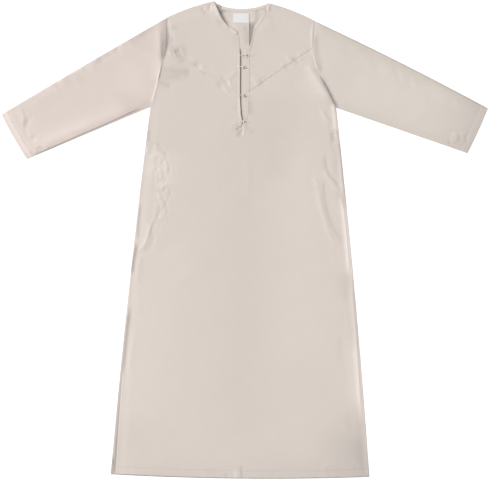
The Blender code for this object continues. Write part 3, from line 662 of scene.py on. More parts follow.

# Creases of the two sleeves, with painted shade and painted highlights along them and broad painted light over them
SLEEVES = creases(
    (2, 7, 16, -0.06, 0.15, -262, 655, -258, 622, -257, 591, -255, 557, -259, 523, -268, 480),
    (0.9, 50, 50, 0, 0.2, -301, 634, -565, 477, -700, 370),
    (0.7, 38, 38, 0, 0.2, -301, 493, -565, 370, -644, 324),
    (1, 50, 50, 0, 0.2, 243, 600, 479, 477, 663, 385),
    (0.6, 34, 34, 0, 0.2, 332, 447, 479, 394, 639, 321),
    (0, 90, 90, -0.045, 0.1, -319, 554, -503, 447, -687, 339),
    (0, 36, 36, -0.1, 0.12, -356, 413, -565, 321, -675, 275),
    (0, 24, 24, -0.06, 0, -595, 318, -503, 355),
    (0, 50, 50, -0.05, 0.1, -288, 585, -316, 508, -344, 437),
    (0, 13, 16, -0.24, 0, -734, 392, -656, 255),
    (0, 26, 20, -0.03, 0, -706, 398, -632, 278),
    (0, 60, 60, -0.03, 0.2, 310, 508, 571, 394),
    (0, 45, 60, 0.1, 0, 719, 431, 670, 302),
    (0, 20, 26, 0.05, 0, 734, 419, 685, 278),
    (-0.5, 12, 16, 0.1, 0.25, -264, 655, -356, 606),
    (-0.3, 10, 14, 0.06, 0.25, -362, 603, -466, 542),
    (0, 10, 10, 0.06, 0, -448, 548, -463, 536),
    (0, 12, 14, 0.05, 0.3, -491, 520, -558, 474),
    (0, 22, 22, 0.04, 0.1, 227, 665, 725, 419),
    (0, 2, 2.4, 0.16, 0.02, 218, 672, 485, 542, 748, 404),
    (-0.8, 1.9, 1.9, 0.55, 0.12, -657, 258, -602, 280, -500, 325, -441, 350, -352, 390, -301, 412),
    (1, 5, 5, -0.03, 0.2, -690, 410, -678, 379, -681, 348),
    (-1, 5, 5, 0.05, 0.2, -678, 407, -666, 370, -669, 336),
    (0.8, 4, 4, -0.03, 0.2, -663, 345, -654, 318),
    (-1.1, 4, 4, 0.1, 0.2, -632, 287, -614, 278),
    (1, 4, 4, -0.06, 0.2, -620, 296, -598, 282),
    (1, 4, 4, -0.06, 0.2, -644, 281, -635, 269),
    (1.2, 8, 9, -0.07, 0.25, 642, 336, 651, 318, 654, 302),
    (-0.9, 4, 4, 0.05, 0.2, 659, 342, 663, 321, 662, 299),
    (0, 4, 4, 0.045, 0.05, 740, 402, 683, 275),
    (1, 5, 5, -0.05, 0.2, 636, 321, 645, 299),
    (-0.9, 4, 4, 0.06, 0.2, 627, 312, 636, 293),
    (-0.9, 5, 5, 0.05, 0.2, 682, 327, 683, 296),
    (0.5, 8, 8, -0.01, 0.3, -472, 536, -442, 505),
    (0.5, 9, 9, -0.01, 0.3, -528, 505, -491, 456),
)

# Painted shadow on the back panel where it shows beside and inside the front: under the neck edges, beside the
# strip behind the slit and beside the left front's tucked side
BACK_SHADES = creases(
    (0, 13, 12, 0.45, 0.12, -78, 727, -71, 714, -63, 697),
    (0, 4, 6, 0.3, 0.15, -70, 706, -58, 680, -44, 660),
    (0, 7, 10, 0.62, 0.22, 26, 678, 24, 643, 21, 616, 17, 591),
    (0, 3, 5, 0.04, 0.2, 70, 717, 57, 695, 45, 671),
    (0, 5, 5, 0.3, 0.15, 42, 714, 41, 686, 38, 662),
    (0, 7, 7, 0.05, 0.2, 25, 714, 25, 677),
    (0, 8, 8, 0.07, 0.2, -46, 714, -43, 677),
    (0, 9, 5, 0.42, 0.08, -340, -177, -359, -305, -374, -422, -382, -490, -388, -582, -397, -698),
    (0, 12, 12, 0.4, 0, -403, -680, -404, -723),
)


def crumples(*rows: tuple[float, ...]) -> tuple[Rumple, ...]:
    """Small waves kept to a line: rows of a Rumple's values, the line's half-widths and fade, and its points."""
    return tuple(Rumple(*row[:6], *creases((1, *row[6:8], 0, *row[8:]))) for row in rows)


RUMPLES = (Rumple(90, 70, 0.35, 12, 3), Rumple(34, 26, 0.10, 35, 5), Rumple(13, 9, 0.03, 70, 7))
FAINT = RUMPLES[2]
CRUMPLES = crumples(
    (14, 26, 0.9, 35, 11, 0.09, 16, 22, 0.1, -262, 655, -450, 556, -640, 440),
    (12, 22, 0.8, -40, 13, 0.06, 26, 12, 0.2, -690, 414, -640, 278),
    (12, 20, 0.8, 55, 17, 0.07, 24, 24, 0.3, 664, 350, 640, 296),
    (14, 34, 0.5, 20, 19, 0.06, 26, 22, 0.15, 270, 605, 480, 505, 700, 395),
    (12, 16, 0.6, 10, 37, 0.08, 14, 12, 0.2, -650, 262, -560, 300, -450, 350),
)
FLANK_CRUMPLES = crumples(
    (8, 14, 0.8, -25, 23, 0.06, 22, 24, 0.2, -262, 320, -252, 220, -252, 130, -286, 20),
    (8, 30, 0.5, 15, 29, 0.07, 16, 24, 0.2, 270, 380, 282, 300, 296, 200),
    (8, 14, 0.4, 60, 31, 0.03, 14, 20, 0.1, -215, 588, -120, 530, -24, 470),
    (14, 16, 0.4, 20, 41, 0.08, 30, 40, 0.3, 200, -700, 390, -690),
    (16, 60, 0.3, 3, 43, 0.07, 40, 40, 0.2, 330, 0, 372, -640),
)


@dataclass(frozen=True)
class Lay:
    """Heights of the robe's upper faces over the surface that it lies on, and the shade painted on them."""

    rest: float = 2.7
    loft: float = 1.7
    least: float = 2.1
    least_blend: float = 0.2
    ease: float = 34
    roll_reach: float = 3.4
    roll_drop: float = 1.2
    edge_ease: float = 8
    # painted shade along folded edges: depth and width of a thin line on the fold and of a wide band inside it
    edge_shade_line: Point = (0.06, 1.6)
    edge_shade_band: Point = (0.035, 20)
    neck_lift: Point = (3.6, 0.8)
    neck_reach: float = 36
    neck_share: float = 0.4
    hem_turn: float = 20.5
    # width, depth and painted shade of the hem's stitched groove
    hem_groove: tuple[float, float, float] = (1.8, 0.6, 0.07)
    hem_roll: Point = (3, 0.9)
    turned: float = 0.6
    slit_turn: float = 6
    guard_top: float = 2.7
    guard_rise: float = 0.6
    guard_rise_from: float = 540
    guard_edge: Point = (-20, 17)
    guard_ends: Point = (322, 669)
    guard_margin: float = 7
    guard_blend: float = 0.3
    cover: float = 1.7
    cover_slope: float = 0.05
    pressed: float = 1.0
    pressed_from: float = 586
    pressed_ease: Point = (6, 14)
    flush_line: tuple[Point, ...] = ((-37, 653), (-34, 650), (-19, 640), (-14.5, 610), (-12.8, 588))
    flush_reach: float = 15
    flush_share: float = 1.3
    flush_gap: float = 0.05
    sleeve_loft: float = 1.7
    sleeve_ease: float = 26
    cuff_pull: float = 0.3
    armhole_blend: float = 45
    seam_depth: float = 0.9
    seam_width: float = 2.2
    # painted shade in the seam grooves
    seam_shade: float = 0.10
    seam_ease: float = 20
    seam_tuck: Point = (0.8, 1.8)

    def guard(self, plan: Array) -> Array:
        """Height of the strip behind the slit, which rises towards the neck."""
        span = self.guard_ends[1] - self.guard_rise_from
        return self.guard_top + self.guard_rise * smoothstep((plan[:, 1] - self.guard_rise_from) / span)

    def over_guard(self, plan: Array) -> Array:
        """The least height that keeps the front clear of that strip, falling away beside it.

        On the left, above the first button, the front is pressed down onto the strip.

        Args:
            plan: points, one to a row.

        Returns:
            A height for each point.
        """
        x, y = plan.T
        side = np.maximum(self.guard_edge[0] - x, x - self.guard_edge[1])
        end = np.maximum(self.guard_ends[0] - y, y - self.guard_ends[1])
        outside = np.maximum(np.maximum(side, end) - self.guard_margin, 0)
        ease_x, ease_y = self.pressed_ease
        pressed = smoothstep((y - self.pressed_from) / ease_y) * smoothstep(-x / ease_x)
        return self.guard(plan) + self.cover - self.pressed * pressed - self.cover_slope * outside

    def flush(self, plan: Array) -> Array:
        """Share of the left front that is pressed onto the strip above the first button."""
        away = distance(plan, smooth_path(self.flush_line, CREASE_CELLS)) / self.flush_reach
        return smoothstep(self.flush_share - away)

    def edges(self, aside: Array) -> Array:
        """Painted shade along a folded edge: a thin line on the fold and a wide soft band inside it."""
        thin, wide = (depth * ridge(aside, width) for depth, width in (self.edge_shade_line, self.edge_shade_band))
        return thin + wide

    def hem(self, aside: Array, pull: float = 1.0) -> Fields:
        """A turned hem: one more layer of cloth up to its stitches, which draw a shallow groove with painted shade
        in it.

        Args:
            aside: distances from the hem's edge.
            pull: share of the groove's depth.

        Returns:
            Heights and shade.
        """
        width, depth, dark = self.hem_groove
        groove = pull * ridge(aside - self.hem_turn, width)
        height = self.turned * smoothstep((self.hem_turn + 1 - aside) / 2)
        return height - depth * groove - roll(aside, *self.hem_roll), dark * groove

    def seams(self, plan: Array) -> Fields:
        """Grooves of the armhole seams and V seams, with painted shade in them.

        Args:
            plan: points, one to a row.

        Returns:
            Heights and shade.
        """
        groove = np.zeros(len(plan))
        for half in HALVES:
            armhole = half.armhole_groove * smoothstep((plan[:, 1] - half.groove_foot) / self.seam_ease)
            for line, strength in ((half.armhole(40), armhole), (half.v_seam(np.linspace(0, 1, 3)), half.v_groove)):
                groove += strength * ridge(distance(plan, line), self.seam_width)
        return -self.seam_depth * groove, self.seam_shade * groove

    def body(self, plan: Array) -> Fields:
        """The body's upper face before its edges roll over: loft, creases, neck lift and what lies below.

        Args:
            plan: points, one to a row.

        Returns:
            Heights and shade.
        """
        sides = from_edges(plan)
        relief, shade = folded(plan, CHEST + SKIRT + BROAD_PAINTED_LIGHT, RUMPLES + FLANK_CRUMPLES)
        loft = np.full(len(plan), self.loft)
        for half, lift in zip(HALVES, self.neck_lift):
            line = half.neck(EDGE_CELLS)[: round(EDGE_CELLS * self.neck_share)]
            loft += lift * (1 - smoothstep(distance(plan, line) / self.neck_reach))
        height = self.rest + loft * smoothstep(sides / self.ease) + relief * smoothstep(sides / self.edge_ease)
        over = self.over_guard(plan)
        height = soft_max(height, over, self.guard_blend)
        height += (over + self.flush_gap - height) * self.flush(plan)
        grooves, dark = self.seams(plan)
        return soft_max(height + grooves, self.least, self.least_blend), shade + dark

    def front(self, plan: Array) -> Fields:
        """The front's upper face, with its hem and slit turned and its sides rolled over.

        Args:
            plan: points, one to a row.

        Returns:
            Heights and shade.
        """
        height, shade = self.body(plan)
        turned, dark = self.hem(distance(plan, front_hem(EDGE_CUTS)))
        slit = distance(plan, *(half.slit(30) for half in HALVES))
        height += turned + self.turned * smoothstep((self.slit_turn - slit) / 2) * (1 - self.flush(plan))
        sides = from_edges(plan)
        return height - roll(sides, self.roll_reach, self.roll_drop), shade + dark + self.edges(sides)

    def sleeve(self, half: Half, plan: Array) -> Fields:
        """A sleeve's upper face, which starts from the body's own height at the armhole.

        Args:
            half: the sleeve's half of the robe.
            plan: points, one to a row.

        Returns:
            Heights and shade.
        """
        sides = distance(plan, *half.sleeve_lines(EDGE_CUTS))
        relief, shade = folded(plan, SLEEVES, CRUMPLES)
        flat = self.rest + self.sleeve_loft * smoothstep(sides / self.sleeve_ease) + folded(plan, (), RUMPLES)[0]
        turned, dark = self.hem(distance(plan, half.cuff(EDGE_CUTS)), self.cuff_pull)
        body, body_shade = self.body(plan)
        armhole = distance(plan, half.armhole(40))
        share = smoothstep(armhole / self.armhole_blend)
        height = body * (1 - share) + flat * share + relief * smoothstep(sides / self.edge_ease) + turned
        height = soft_max(height, self.least, self.least_blend)
        tuck, width = self.seam_tuck
        height -= tuck * smoothstep((plan[:, 1] - half.groove_foot) / self.seam_ease) * ridge(armhole, width)
        shade += dark + body_shade * (1 - share) + self.edges(sides)
        return height - roll(sides, self.roll_reach, self.roll_drop), shade


LAY = Lay()


# ---- meshes


def make_piece(
    name: str, points: Array, faces: list, finish: Finish,
    shade: Array | float = 0.0, blush: float = 0.0, uv: Array | None = None,
) -> Object:
    """A named piece that rides on the robe.

    Args:
        name: the piece's name.
        points: millimetre points, one to a row.
        faces: point numbers of each face, seen from outside against the clock.
        finish: its material and its slot name.
        shade: painted shade, how much darker than its finish each point is, and lighter where negative.
        blush: how much pinker the whole piece is.
        uv: cloth coordinates of each point, in millimetres.

    Returns:
        The new object, at the origin.
    """
    mesh = bpy.data.meshes.new(name)
    mesh.from_pydata((points * MM).tolist(), [], faces)
    for title, value in (("shade", shade), ("blush", blush)):
        field = mesh.attributes.new(title, "FLOAT", "POINT")
        field.data.foreach_set("value", np.broadcast_to(value, len(points)).astype(np.float32))
    if uv is not None:
        corner = np.zeros(len(mesh.loops), dtype=np.int32)
        mesh.loops.foreach_get("vertex_index", corner)
        mesh.uv_layers.new(name="cloth").data.foreach_set("uv", (uv[corner] * MM).astype(np.float32).ravel())
    mesh.materials.append(finish[0])
    mesh.shade_smooth()
    mesh.set_sharp_from_angle(angle=np.radians(SHARP_ANGLE))
    mesh.update()
    piece = bpy.data.objects.new(name, mesh)
    bpy.context.scene.collection.objects.link(piece)
    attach(piece, BODY)
    return piece


@dataclass(frozen=True)
class Shell:
    """A thin closed wall of cloth over plan grids that share their edges.

    The upper face stands at surface(x, y). The lower face lies a wall's thickness below it, but not
    below the floor, so an edge that comes down to the floor ends thin.
    """

    name: str
    blocks: list[Array]
    surface: Surface
    wall: float = 0.6
    floor: float = 1.25
    least: float = 0.15

    def build(self, finish: Finish) -> Object:
        """The closed mesh: upper faces, lower faces turned over, and a rim along the free edges.

        Args:
            finish: its material and its slot name.

        Returns:
            The piece.
        """
        plan = np.round(np.vstack([block.reshape(-1, 2) for block in self.blocks]), 3)
        plan, index = np.unique(plan, axis=0, return_inverse=True)
        index = index.reshape(-1)
        quads = []
        first = 0
        for block in self.blocks:
            rows, columns = block.shape[:2]
            grid = index[first : first + rows * columns].reshape(rows, columns)
            first += rows * columns
            cells = np.stack((grid[:-1, :-1], grid[1:, :-1], grid[1:, 1:], grid[:-1, 1:]), axis=-1).reshape(-1, 4)
            (x, y), (x2, y2) = ((plan[cells[:, k + 2]] - plan[cells[:, k]]).T for k in range(2))
            quads.append(cells if (x * y2 - y * x2).sum() > 0 else cells[:, ::-1])
        top = np.vstack(quads)
        count = len(plan)
        ways = np.vstack([top[:, (k, (k + 1) % 4)] for k in range(4)])
        rim = ways[~np.isin(ways[:, 1] * count + ways[:, 0], ways[:, 0] * count + ways[:, 1])]
        sides = np.column_stack((rim[:, 1], rim[:, 0], rim[:, 0] + count, rim[:, 1] + count))
        high, shade = self.surface(plan)
        low = np.minimum(high - self.least, np.maximum(high - self.wall, self.floor))
        points = np.vstack((np.column_stack((plan, high)), np.column_stack((plan, low))))
        faces = np.vstack((top, top[:, ::-1] + count, sides)).tolist()
        return make_piece(self.name, points, faces, finish, np.tile(shade, 2), uv=points[:, :2])


def skin(index: Array) -> Array:
    """Quads between rows of point numbers, where each row closes on itself."""
    after = np.roll(index, -1, axis=1)
    return np.stack((index[:-1], after[:-1], after[1:], index[1:]), axis=-1).reshape(-1, 4)


def tube(path: Array, radii: Array | float, up: Array, sides: int) -> Body:
    """A round body along a path, closed at both ends.

    Each ring is path + radius * (cos(a) * aside + sin(a) * above), with aside square to the path and
    to the given up direction.

    Args:
        path: points, one to a row.
        radii: one radius, or one for each point.
        up: one direction, or one for each point.
        sides: corners of each ring.

    Returns:
        Points and faces.
    """
    along = unit(np.gradient(path, axis=0))
    aside = unit(np.cross(along, np.broadcast_to(up, path.shape)))
    above = np.cross(aside, along)
    turn = np.linspace(0, 2 * np.pi, sides, endpoint=False)[None, :, None]
    rings = path[:, None] + np.reshape(radii, (-1, 1, 1)) * (
        np.cos(turn) * aside[:, None] + np.sin(turn) * above[:, None]
    )
    index = np.arange(len(path) * sides).reshape(len(path), sides)
    return rings.reshape(-1, 3), skin(index).tolist() + [index[0][::-1].tolist(), index[-1].tolist()]


def joined(parts: list[Body]) -> Body:
    """Several bodies' points and faces as one.

    Args:
        parts: the bodies.

    Returns:
        Points and faces.
    """
    faces = []
    count = 0
    for points, around in parts:
        faces += [[corner + count for corner in face] for face in around]
        count += len(points)
    return np.vstack([points for points, _ in parts]), faces


@dataclass(frozen=True)
class StitchRow:
    """A row of thread stitches sunk halfway into the cloth along a line.

    taper holds the rings of one stitch as shares of its length and of its radius.
    """

    line: Array
    surface: Surface
    pitch: float = 3.0
    length: float = 2.1
    radius: float = 0.22
    lift: float = 0.1
    taper: tuple[tuple[float, ...], ...] = ((0, 0.18, 0.82, 1), (0.35, 1, 1, 0.35))
    corners: int = 5

    def bodies(self) -> Body:
        """All of the row's stitches: one short spindle carried to every stitch's place at once.

        Returns:
            Points and faces.
        """
        total = walk(self.line)[0].sum()
        count = max(2, round(total / self.pitch))
        middle = (np.arange(count) + 0.5) / count
        half = self.length / total / 2
        plans = [resampled(self.line, shares) for shares in (middle - half, middle + half)]
        start, end = (np.column_stack((plan, self.surface(plan)[0] + self.lift)) for plan in plans)
        aside = unit(np.cross(unit(end - start), UP))
        above = np.cross(aside, unit(end - start))
        share, girth = (np.array(values)[None, :, None, None] for values in self.taper)
        turn = np.linspace(0, 2 * np.pi, self.corners, endpoint=False)[None, None, :, None]
        spine = start[:, None, None] + (end - start)[:, None, None] * share
        ring = np.cos(turn) * aside[:, None, None] + np.sin(turn) * above[:, None, None]
        points = spine + self.radius * girth * ring
        size = len(self.taper[0]) * self.corners
        index = np.arange(size).reshape(-1, self.corners)
        first = np.arange(count)[:, None, None] * size
        blocks = (skin(index), index[:1, ::-1], index[-1:])
        faces = [face for block in blocks for face in (block[None] + first).reshape(-1, block.shape[1]).tolist()]
        return points.reshape(-1, 3), faces


def sew(name: str, rows: list[StitchRow], finish: Finish) -> Object:
    """One piece that holds several rows of stitches."""
    return make_piece(name, *joined([row.bodies() for row in rows]), finish)


@dataclass(frozen=True)
class Cut:
    """The flat width, length and area, in metres, that a sheet of cloth was cut to."""

    width: float
    length: float
    area: float

    def lay(
        self, piece: Object, node: str, rests_on: tuple[str, ...] = (BELOW,),
        sewn: tuple[Object, ...] = (),
    ) -> list[Object]:
        """Args:
            piece: the cloth.
            node: the node that it stands for.
            rests_on: not used.
            sewn: its stitches.

        Returns:
            The cloth and its stitches.
        """
        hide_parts(node)
        return [piece, *sewn]


# ---- finishes


class Tree:
    """Short calls for building a node tree."""

    def __init__(self, tree: NodeTree) -> None:
        """Starts on an empty tree."""
        self.tree = tree
        tree.nodes.clear()

    def node(self, kind: str, **values: object) -> Node:
        """A node with its properties set, and its sockets set or linked where a value names one.

        Args:
            kind: the node's type.
            values: properties by name, and sockets as in_NAME or in_NUMBER with a value or a socket.

        Returns:
            The node.
        """
        node = self.tree.nodes.new(kind)
        for key, value in sorted(values.items(), key=lambda item: item[0].startswith("in_")):
            if not key.startswith("in_"):
                setattr(node, key, value)
                continue
            title = key[3:].replace("_", " ")
            socket = node.inputs[int(title) if title.isdigit() else title]
            if isinstance(value, NodeSocket):
                self.tree.links.new(value, socket)
            else:
                socket.default_value = value
        return node

    def maths(self, operation: str, a: object, b: object = 0.0, c: object = 0.0) -> NodeSocket:
        """The result of a Math node."""
        return self.node("ShaderNodeMath", operation=operation, in_0=a, in_1=b, in_2=c).outputs[0]


def new_material(name: str) -> tuple[Material, Tree]:
    """A named material and the builder of its node tree.

    Args:
        name: the material's name.

    Returns:
        The material and the builder.
    """
    material = bpy.data.materials.new(name)
    material.use_nodes = True
    return material, Tree(material.node_tree)


def new_group(name: str, inputs: dict, outputs: dict) -> tuple[NodeTree, Tree, dict]:
    """A shader node group with named sockets.

    Args:
        name: the group's name.
        inputs: default value of each input; a 4-tuple is a colour, None a vector.
        outputs: socket type of each output.

    Returns:
        The group, its builder and its input sockets by name.
    """
    group = bpy.data.node_groups.new(name, "ShaderNodeTree")
    kinds = {float: "NodeSocketFloat", tuple: "NodeSocketColor", type(None): "NodeSocketVector"}
    for title, value in inputs.items():
        socket = group.interface.new_socket(title, in_out="INPUT", socket_type=kinds[type(value)])
        if value is not None:
            socket.default_value = value
    for title, kind in outputs.items():
        group.interface.new_socket(title, in_out="OUTPUT", socket_type=kind)
    tree = Tree(group)
    source = tree.node("NodeGroupInput")
    return group, tree, {title: source.outputs[title] for title in inputs}


def weave_group() -> NodeTree:
    """Plain weave: threads cross over and under, each a half sine across its width.

    Its height is sin(pi u) where the warp is on top and sin(pi v) where the weft is, in the squares
    of a chequer with the threads' pitch.

    Returns:
        The group, from Vector and Pitch to Height.
    """
    group, tree, given = new_group("plain weave", {"Vector": None, "Pitch": 0.0005}, {"Height": "NodeSocketFloat"})
    parts = tree.node("ShaderNodeSeparateXYZ", in_Vector=given["Vector"])
    u, v = (tree.maths("DIVIDE", parts.outputs[k], given["Pitch"]) for k in range(2))
    warp, weft = (tree.maths("ABSOLUTE", tree.maths("SINE", tree.maths("MULTIPLY", t, np.pi))) for t in (u, v))
    both = tree.maths("ADD", tree.maths("FLOOR", u), tree.maths("FLOOR", v))
    over = tree.maths("ABSOLUTE", tree.maths("MODULO", both, 2.0))
    under = tree.maths("SUBTRACT", 1.0, over)
    height = tree.maths("ADD", tree.maths("MULTIPLY", warp, over), tree.maths("MULTIPLY", weft, under))
    tree.node("NodeGroupOutput", in_0=height)
    return group


def dye_and_shade_group() -> NodeTree:
    """The cloth's colour: slubs along both threads, soft mottling and blush, darkened by each point's painted shade
    or lightened by painted highlights.

    Returns:
        The group, which puts out the colour and the slubs.
    """
    group, tree, given = new_group(
        "cotton dye and painted shade",
        {"Vector": None, "Colour": (0.5, 0.5, 0.5, 1.0), "Slub": 0.02, "Mottle": 0.02, "Shade": 0.0, "Blush": 0.0},
        {"Colour": "NodeSocketColor", "Slub": "NodeSocketFloat"},
    )
    streaks = []
    for stretch in ((700.0, 22.0, 1.0), (22.0, 700.0, 1.0)):
        spread = tree.node("ShaderNodeMapping", in_Vector=given["Vector"], in_Scale=stretch).outputs[0]
        streaks.append(tree.node("ShaderNodeTexNoise", in_Vector=spread, in_Scale=1.0, in_Detail=2.0).outputs[0])
    slub = tree.maths("SUBTRACT", tree.maths("ADD", *streaks), 1.0)
    mottle = tree.node("ShaderNodeTexNoise", in_Vector=given["Vector"], in_Scale=14.0, in_Detail=3.0)
    patches = tree.maths("SUBTRACT", mottle.outputs[0], 0.5)
    dark = tree.maths("MULTIPLY", slub, given["Slub"])
    dark = tree.maths("ADD", dark, tree.maths("MULTIPLY", patches, given["Mottle"]))
    # painted shade darkens the colour here, or lightens it where negative; slubs and mottling are the cloth's own
    light = tree.maths("SUBTRACT", tree.maths("SUBTRACT", 1.0, given["Shade"]), dark)
    shaded = tree.node("ShaderNodeVectorMath", operation="SCALE", in_0=given["Colour"], in_Scale=light)
    warmer = tree.node("ShaderNodeVectorMath", operation="MULTIPLY", in_0=shaded.outputs[0], in_1=(1.05, 0.98, 1.0))
    mixed = tree.node(
        "ShaderNodeMix", data_type="VECTOR", clamp_factor=False, in_Factor=given["Blush"],
        in_4=shaded.outputs[0], in_5=warmer.outputs[0],
    )
    tree.node("NodeGroupOutput", in_0=mixed.outputs[1], in_1=slub)
    return group


@dataclass(frozen=True)
class ClothFinish:
    """A matt woven cotton."""

    name: str
    colour: tuple[float, float, float]
    pitch: float = 0.0005
    weave_depth: float = 0.00006
    weave_strength: float = 0.6
    slub: float = 0.06
    slub_roughness: float = 0.1
    mottle: float = 0.03
    roughness: float = 0.86
    sheen: float = 0.12
    sheen_roughness: float = 0.5

    def material(self, weave: NodeTree, dye_and_shade: NodeTree) -> Material:
        """The Principled material, with its colour and bump from the two groups.

        Args:
            weave: the group that puts out the threads' height.
            dye_and_shade: the group that puts out the colour and the slubs.

        Returns:
            The material.
        """
        material, tree = new_material(self.name)
        place = tree.node("ShaderNodeTexCoord").outputs["UV"]
        # each point's painted shade, and its blush
        shade, blush = (
            tree.node("ShaderNodeAttribute", attribute_name=name).outputs["Fac"] for name in ("shade", "blush")
        )
        colour = tree.node(
            "ShaderNodeGroup", node_tree=dye_and_shade, in_Vector=place, in_Colour=(*self.colour, 1.0),
            in_Slub=self.slub, in_Mottle=self.mottle, in_Shade=shade, in_Blush=blush,
        )
        threads = tree.node("ShaderNodeGroup", node_tree=weave, in_Vector=place, in_Pitch=self.pitch)
        bump = tree.node(
            "ShaderNodeBump", in_Strength=self.weave_strength, in_Distance=self.weave_depth,
            in_Height=threads.outputs[0],
        )
        shader = tree.node(
            "ShaderNodeBsdfPrincipled", in_Base_Color=colour.outputs["Colour"],
            in_Roughness=tree.maths("MULTIPLY_ADD", colour.outputs["Slub"], self.slub_roughness, self.roughness),
            in_Normal=bump.outputs[0], in_Sheen_Weight=self.sheen, in_Sheen_Roughness=self.sheen_roughness,
        )
        tree.node("ShaderNodeOutputMaterial", in_0=shader.outputs[0])
        return material


@dataclass(frozen=True)
class ThreadFinish:
    """Twisted cotton thread or cord, with its plies as a fine slanted bump."""

    name: str
    colour: tuple[float, float, float]
    ply: float = 1400.0 / 6.283
    slant: tuple[float, float, float] = (0.5, 0.3, 0.8)
    fuzz: float = 900.0
    tints: Point = (0.9, 1.08)
    relief: float = 0.0001
    roughness: float = 0.75
    sheen: float = 0.1

    def material(self) -> Material:
        """The Principled material: plies from a slanted wave on object coordinates.

        Returns:
            The material.
        """
        material, tree = new_material(self.name)
        place = tree.node("ShaderNodeTexCoord").outputs["Object"]
        slant = tree.node("ShaderNodeMapping", in_Vector=place, in_Rotation=self.slant)
        wave = tree.node("ShaderNodeTexWave", in_Vector=slant.outputs[0], in_Scale=self.ply)
        fuzz = tree.node("ShaderNodeTexNoise", in_Vector=place, in_Scale=self.fuzz, in_Detail=2.0)
        dark, light = ((*(min(1.0, tint * c) for c in self.colour), 1.0) for tint in self.tints)
        tint = tree.node("ShaderNodeMix", data_type="RGBA", in_Factor=fuzz.outputs[0], in_6=dark, in_7=light)
        bump = tree.node("ShaderNodeBump", in_Strength=0.5, in_Distance=self.relief, in_Height=wave.outputs[1])
        shader = tree.node(
            "ShaderNodeBsdfPrincipled", in_Base_Color=tint.outputs[2], in_Roughness=self.roughness,
            in_Normal=bump.outputs[0], in_Sheen_Weight=self.sheen,
        )
        tree.node("ShaderNodeOutputMaterial", in_0=shader.outputs[0])
        return material


class Finishes:
    """Every material of the robe, made once."""

    def __init__(self) -> None:
        """Builds the two groups and the finishes that use them."""
        groups = weave_group(), dye_and_shade_group()
        cloth = ClothFinish("robe cotton", (0.588, 0.526, 0.481))
        # the back panel's and pocket bags' cotton: the same cloth painted lighter, to offset the shade where the
        # back shows inside the front
        inside = ClothFinish("robe cotton inside painted lighter", (0.625, 0.560, 0.508))
        binding = ClothFinish("binding cotton", (0.610, 0.547, 0.498), slub=0.04)
        label = ClothFinish("label tape", (0.69, 0.68, 0.685), pitch=0.0004, slub=0.01, mottle=0.01, roughness=0.6)
        self.cloth = cloth.material(*groups), Slot.CLOTH
        self.inside = inside.material(*groups), Slot.CLOTH
        self.binding = binding.material(*groups), Slot.BINDING
        self.label = label.material(*groups), Slot.LABEL
        self.cord = ThreadFinish("cotton cord", (0.74, 0.665, 0.60)).material(), Slot.CORD
        self.thread = ThreadFinish("sewing thread", (0.63, 0.565, 0.51)).material(), Slot.CORD


# ---- the pieces


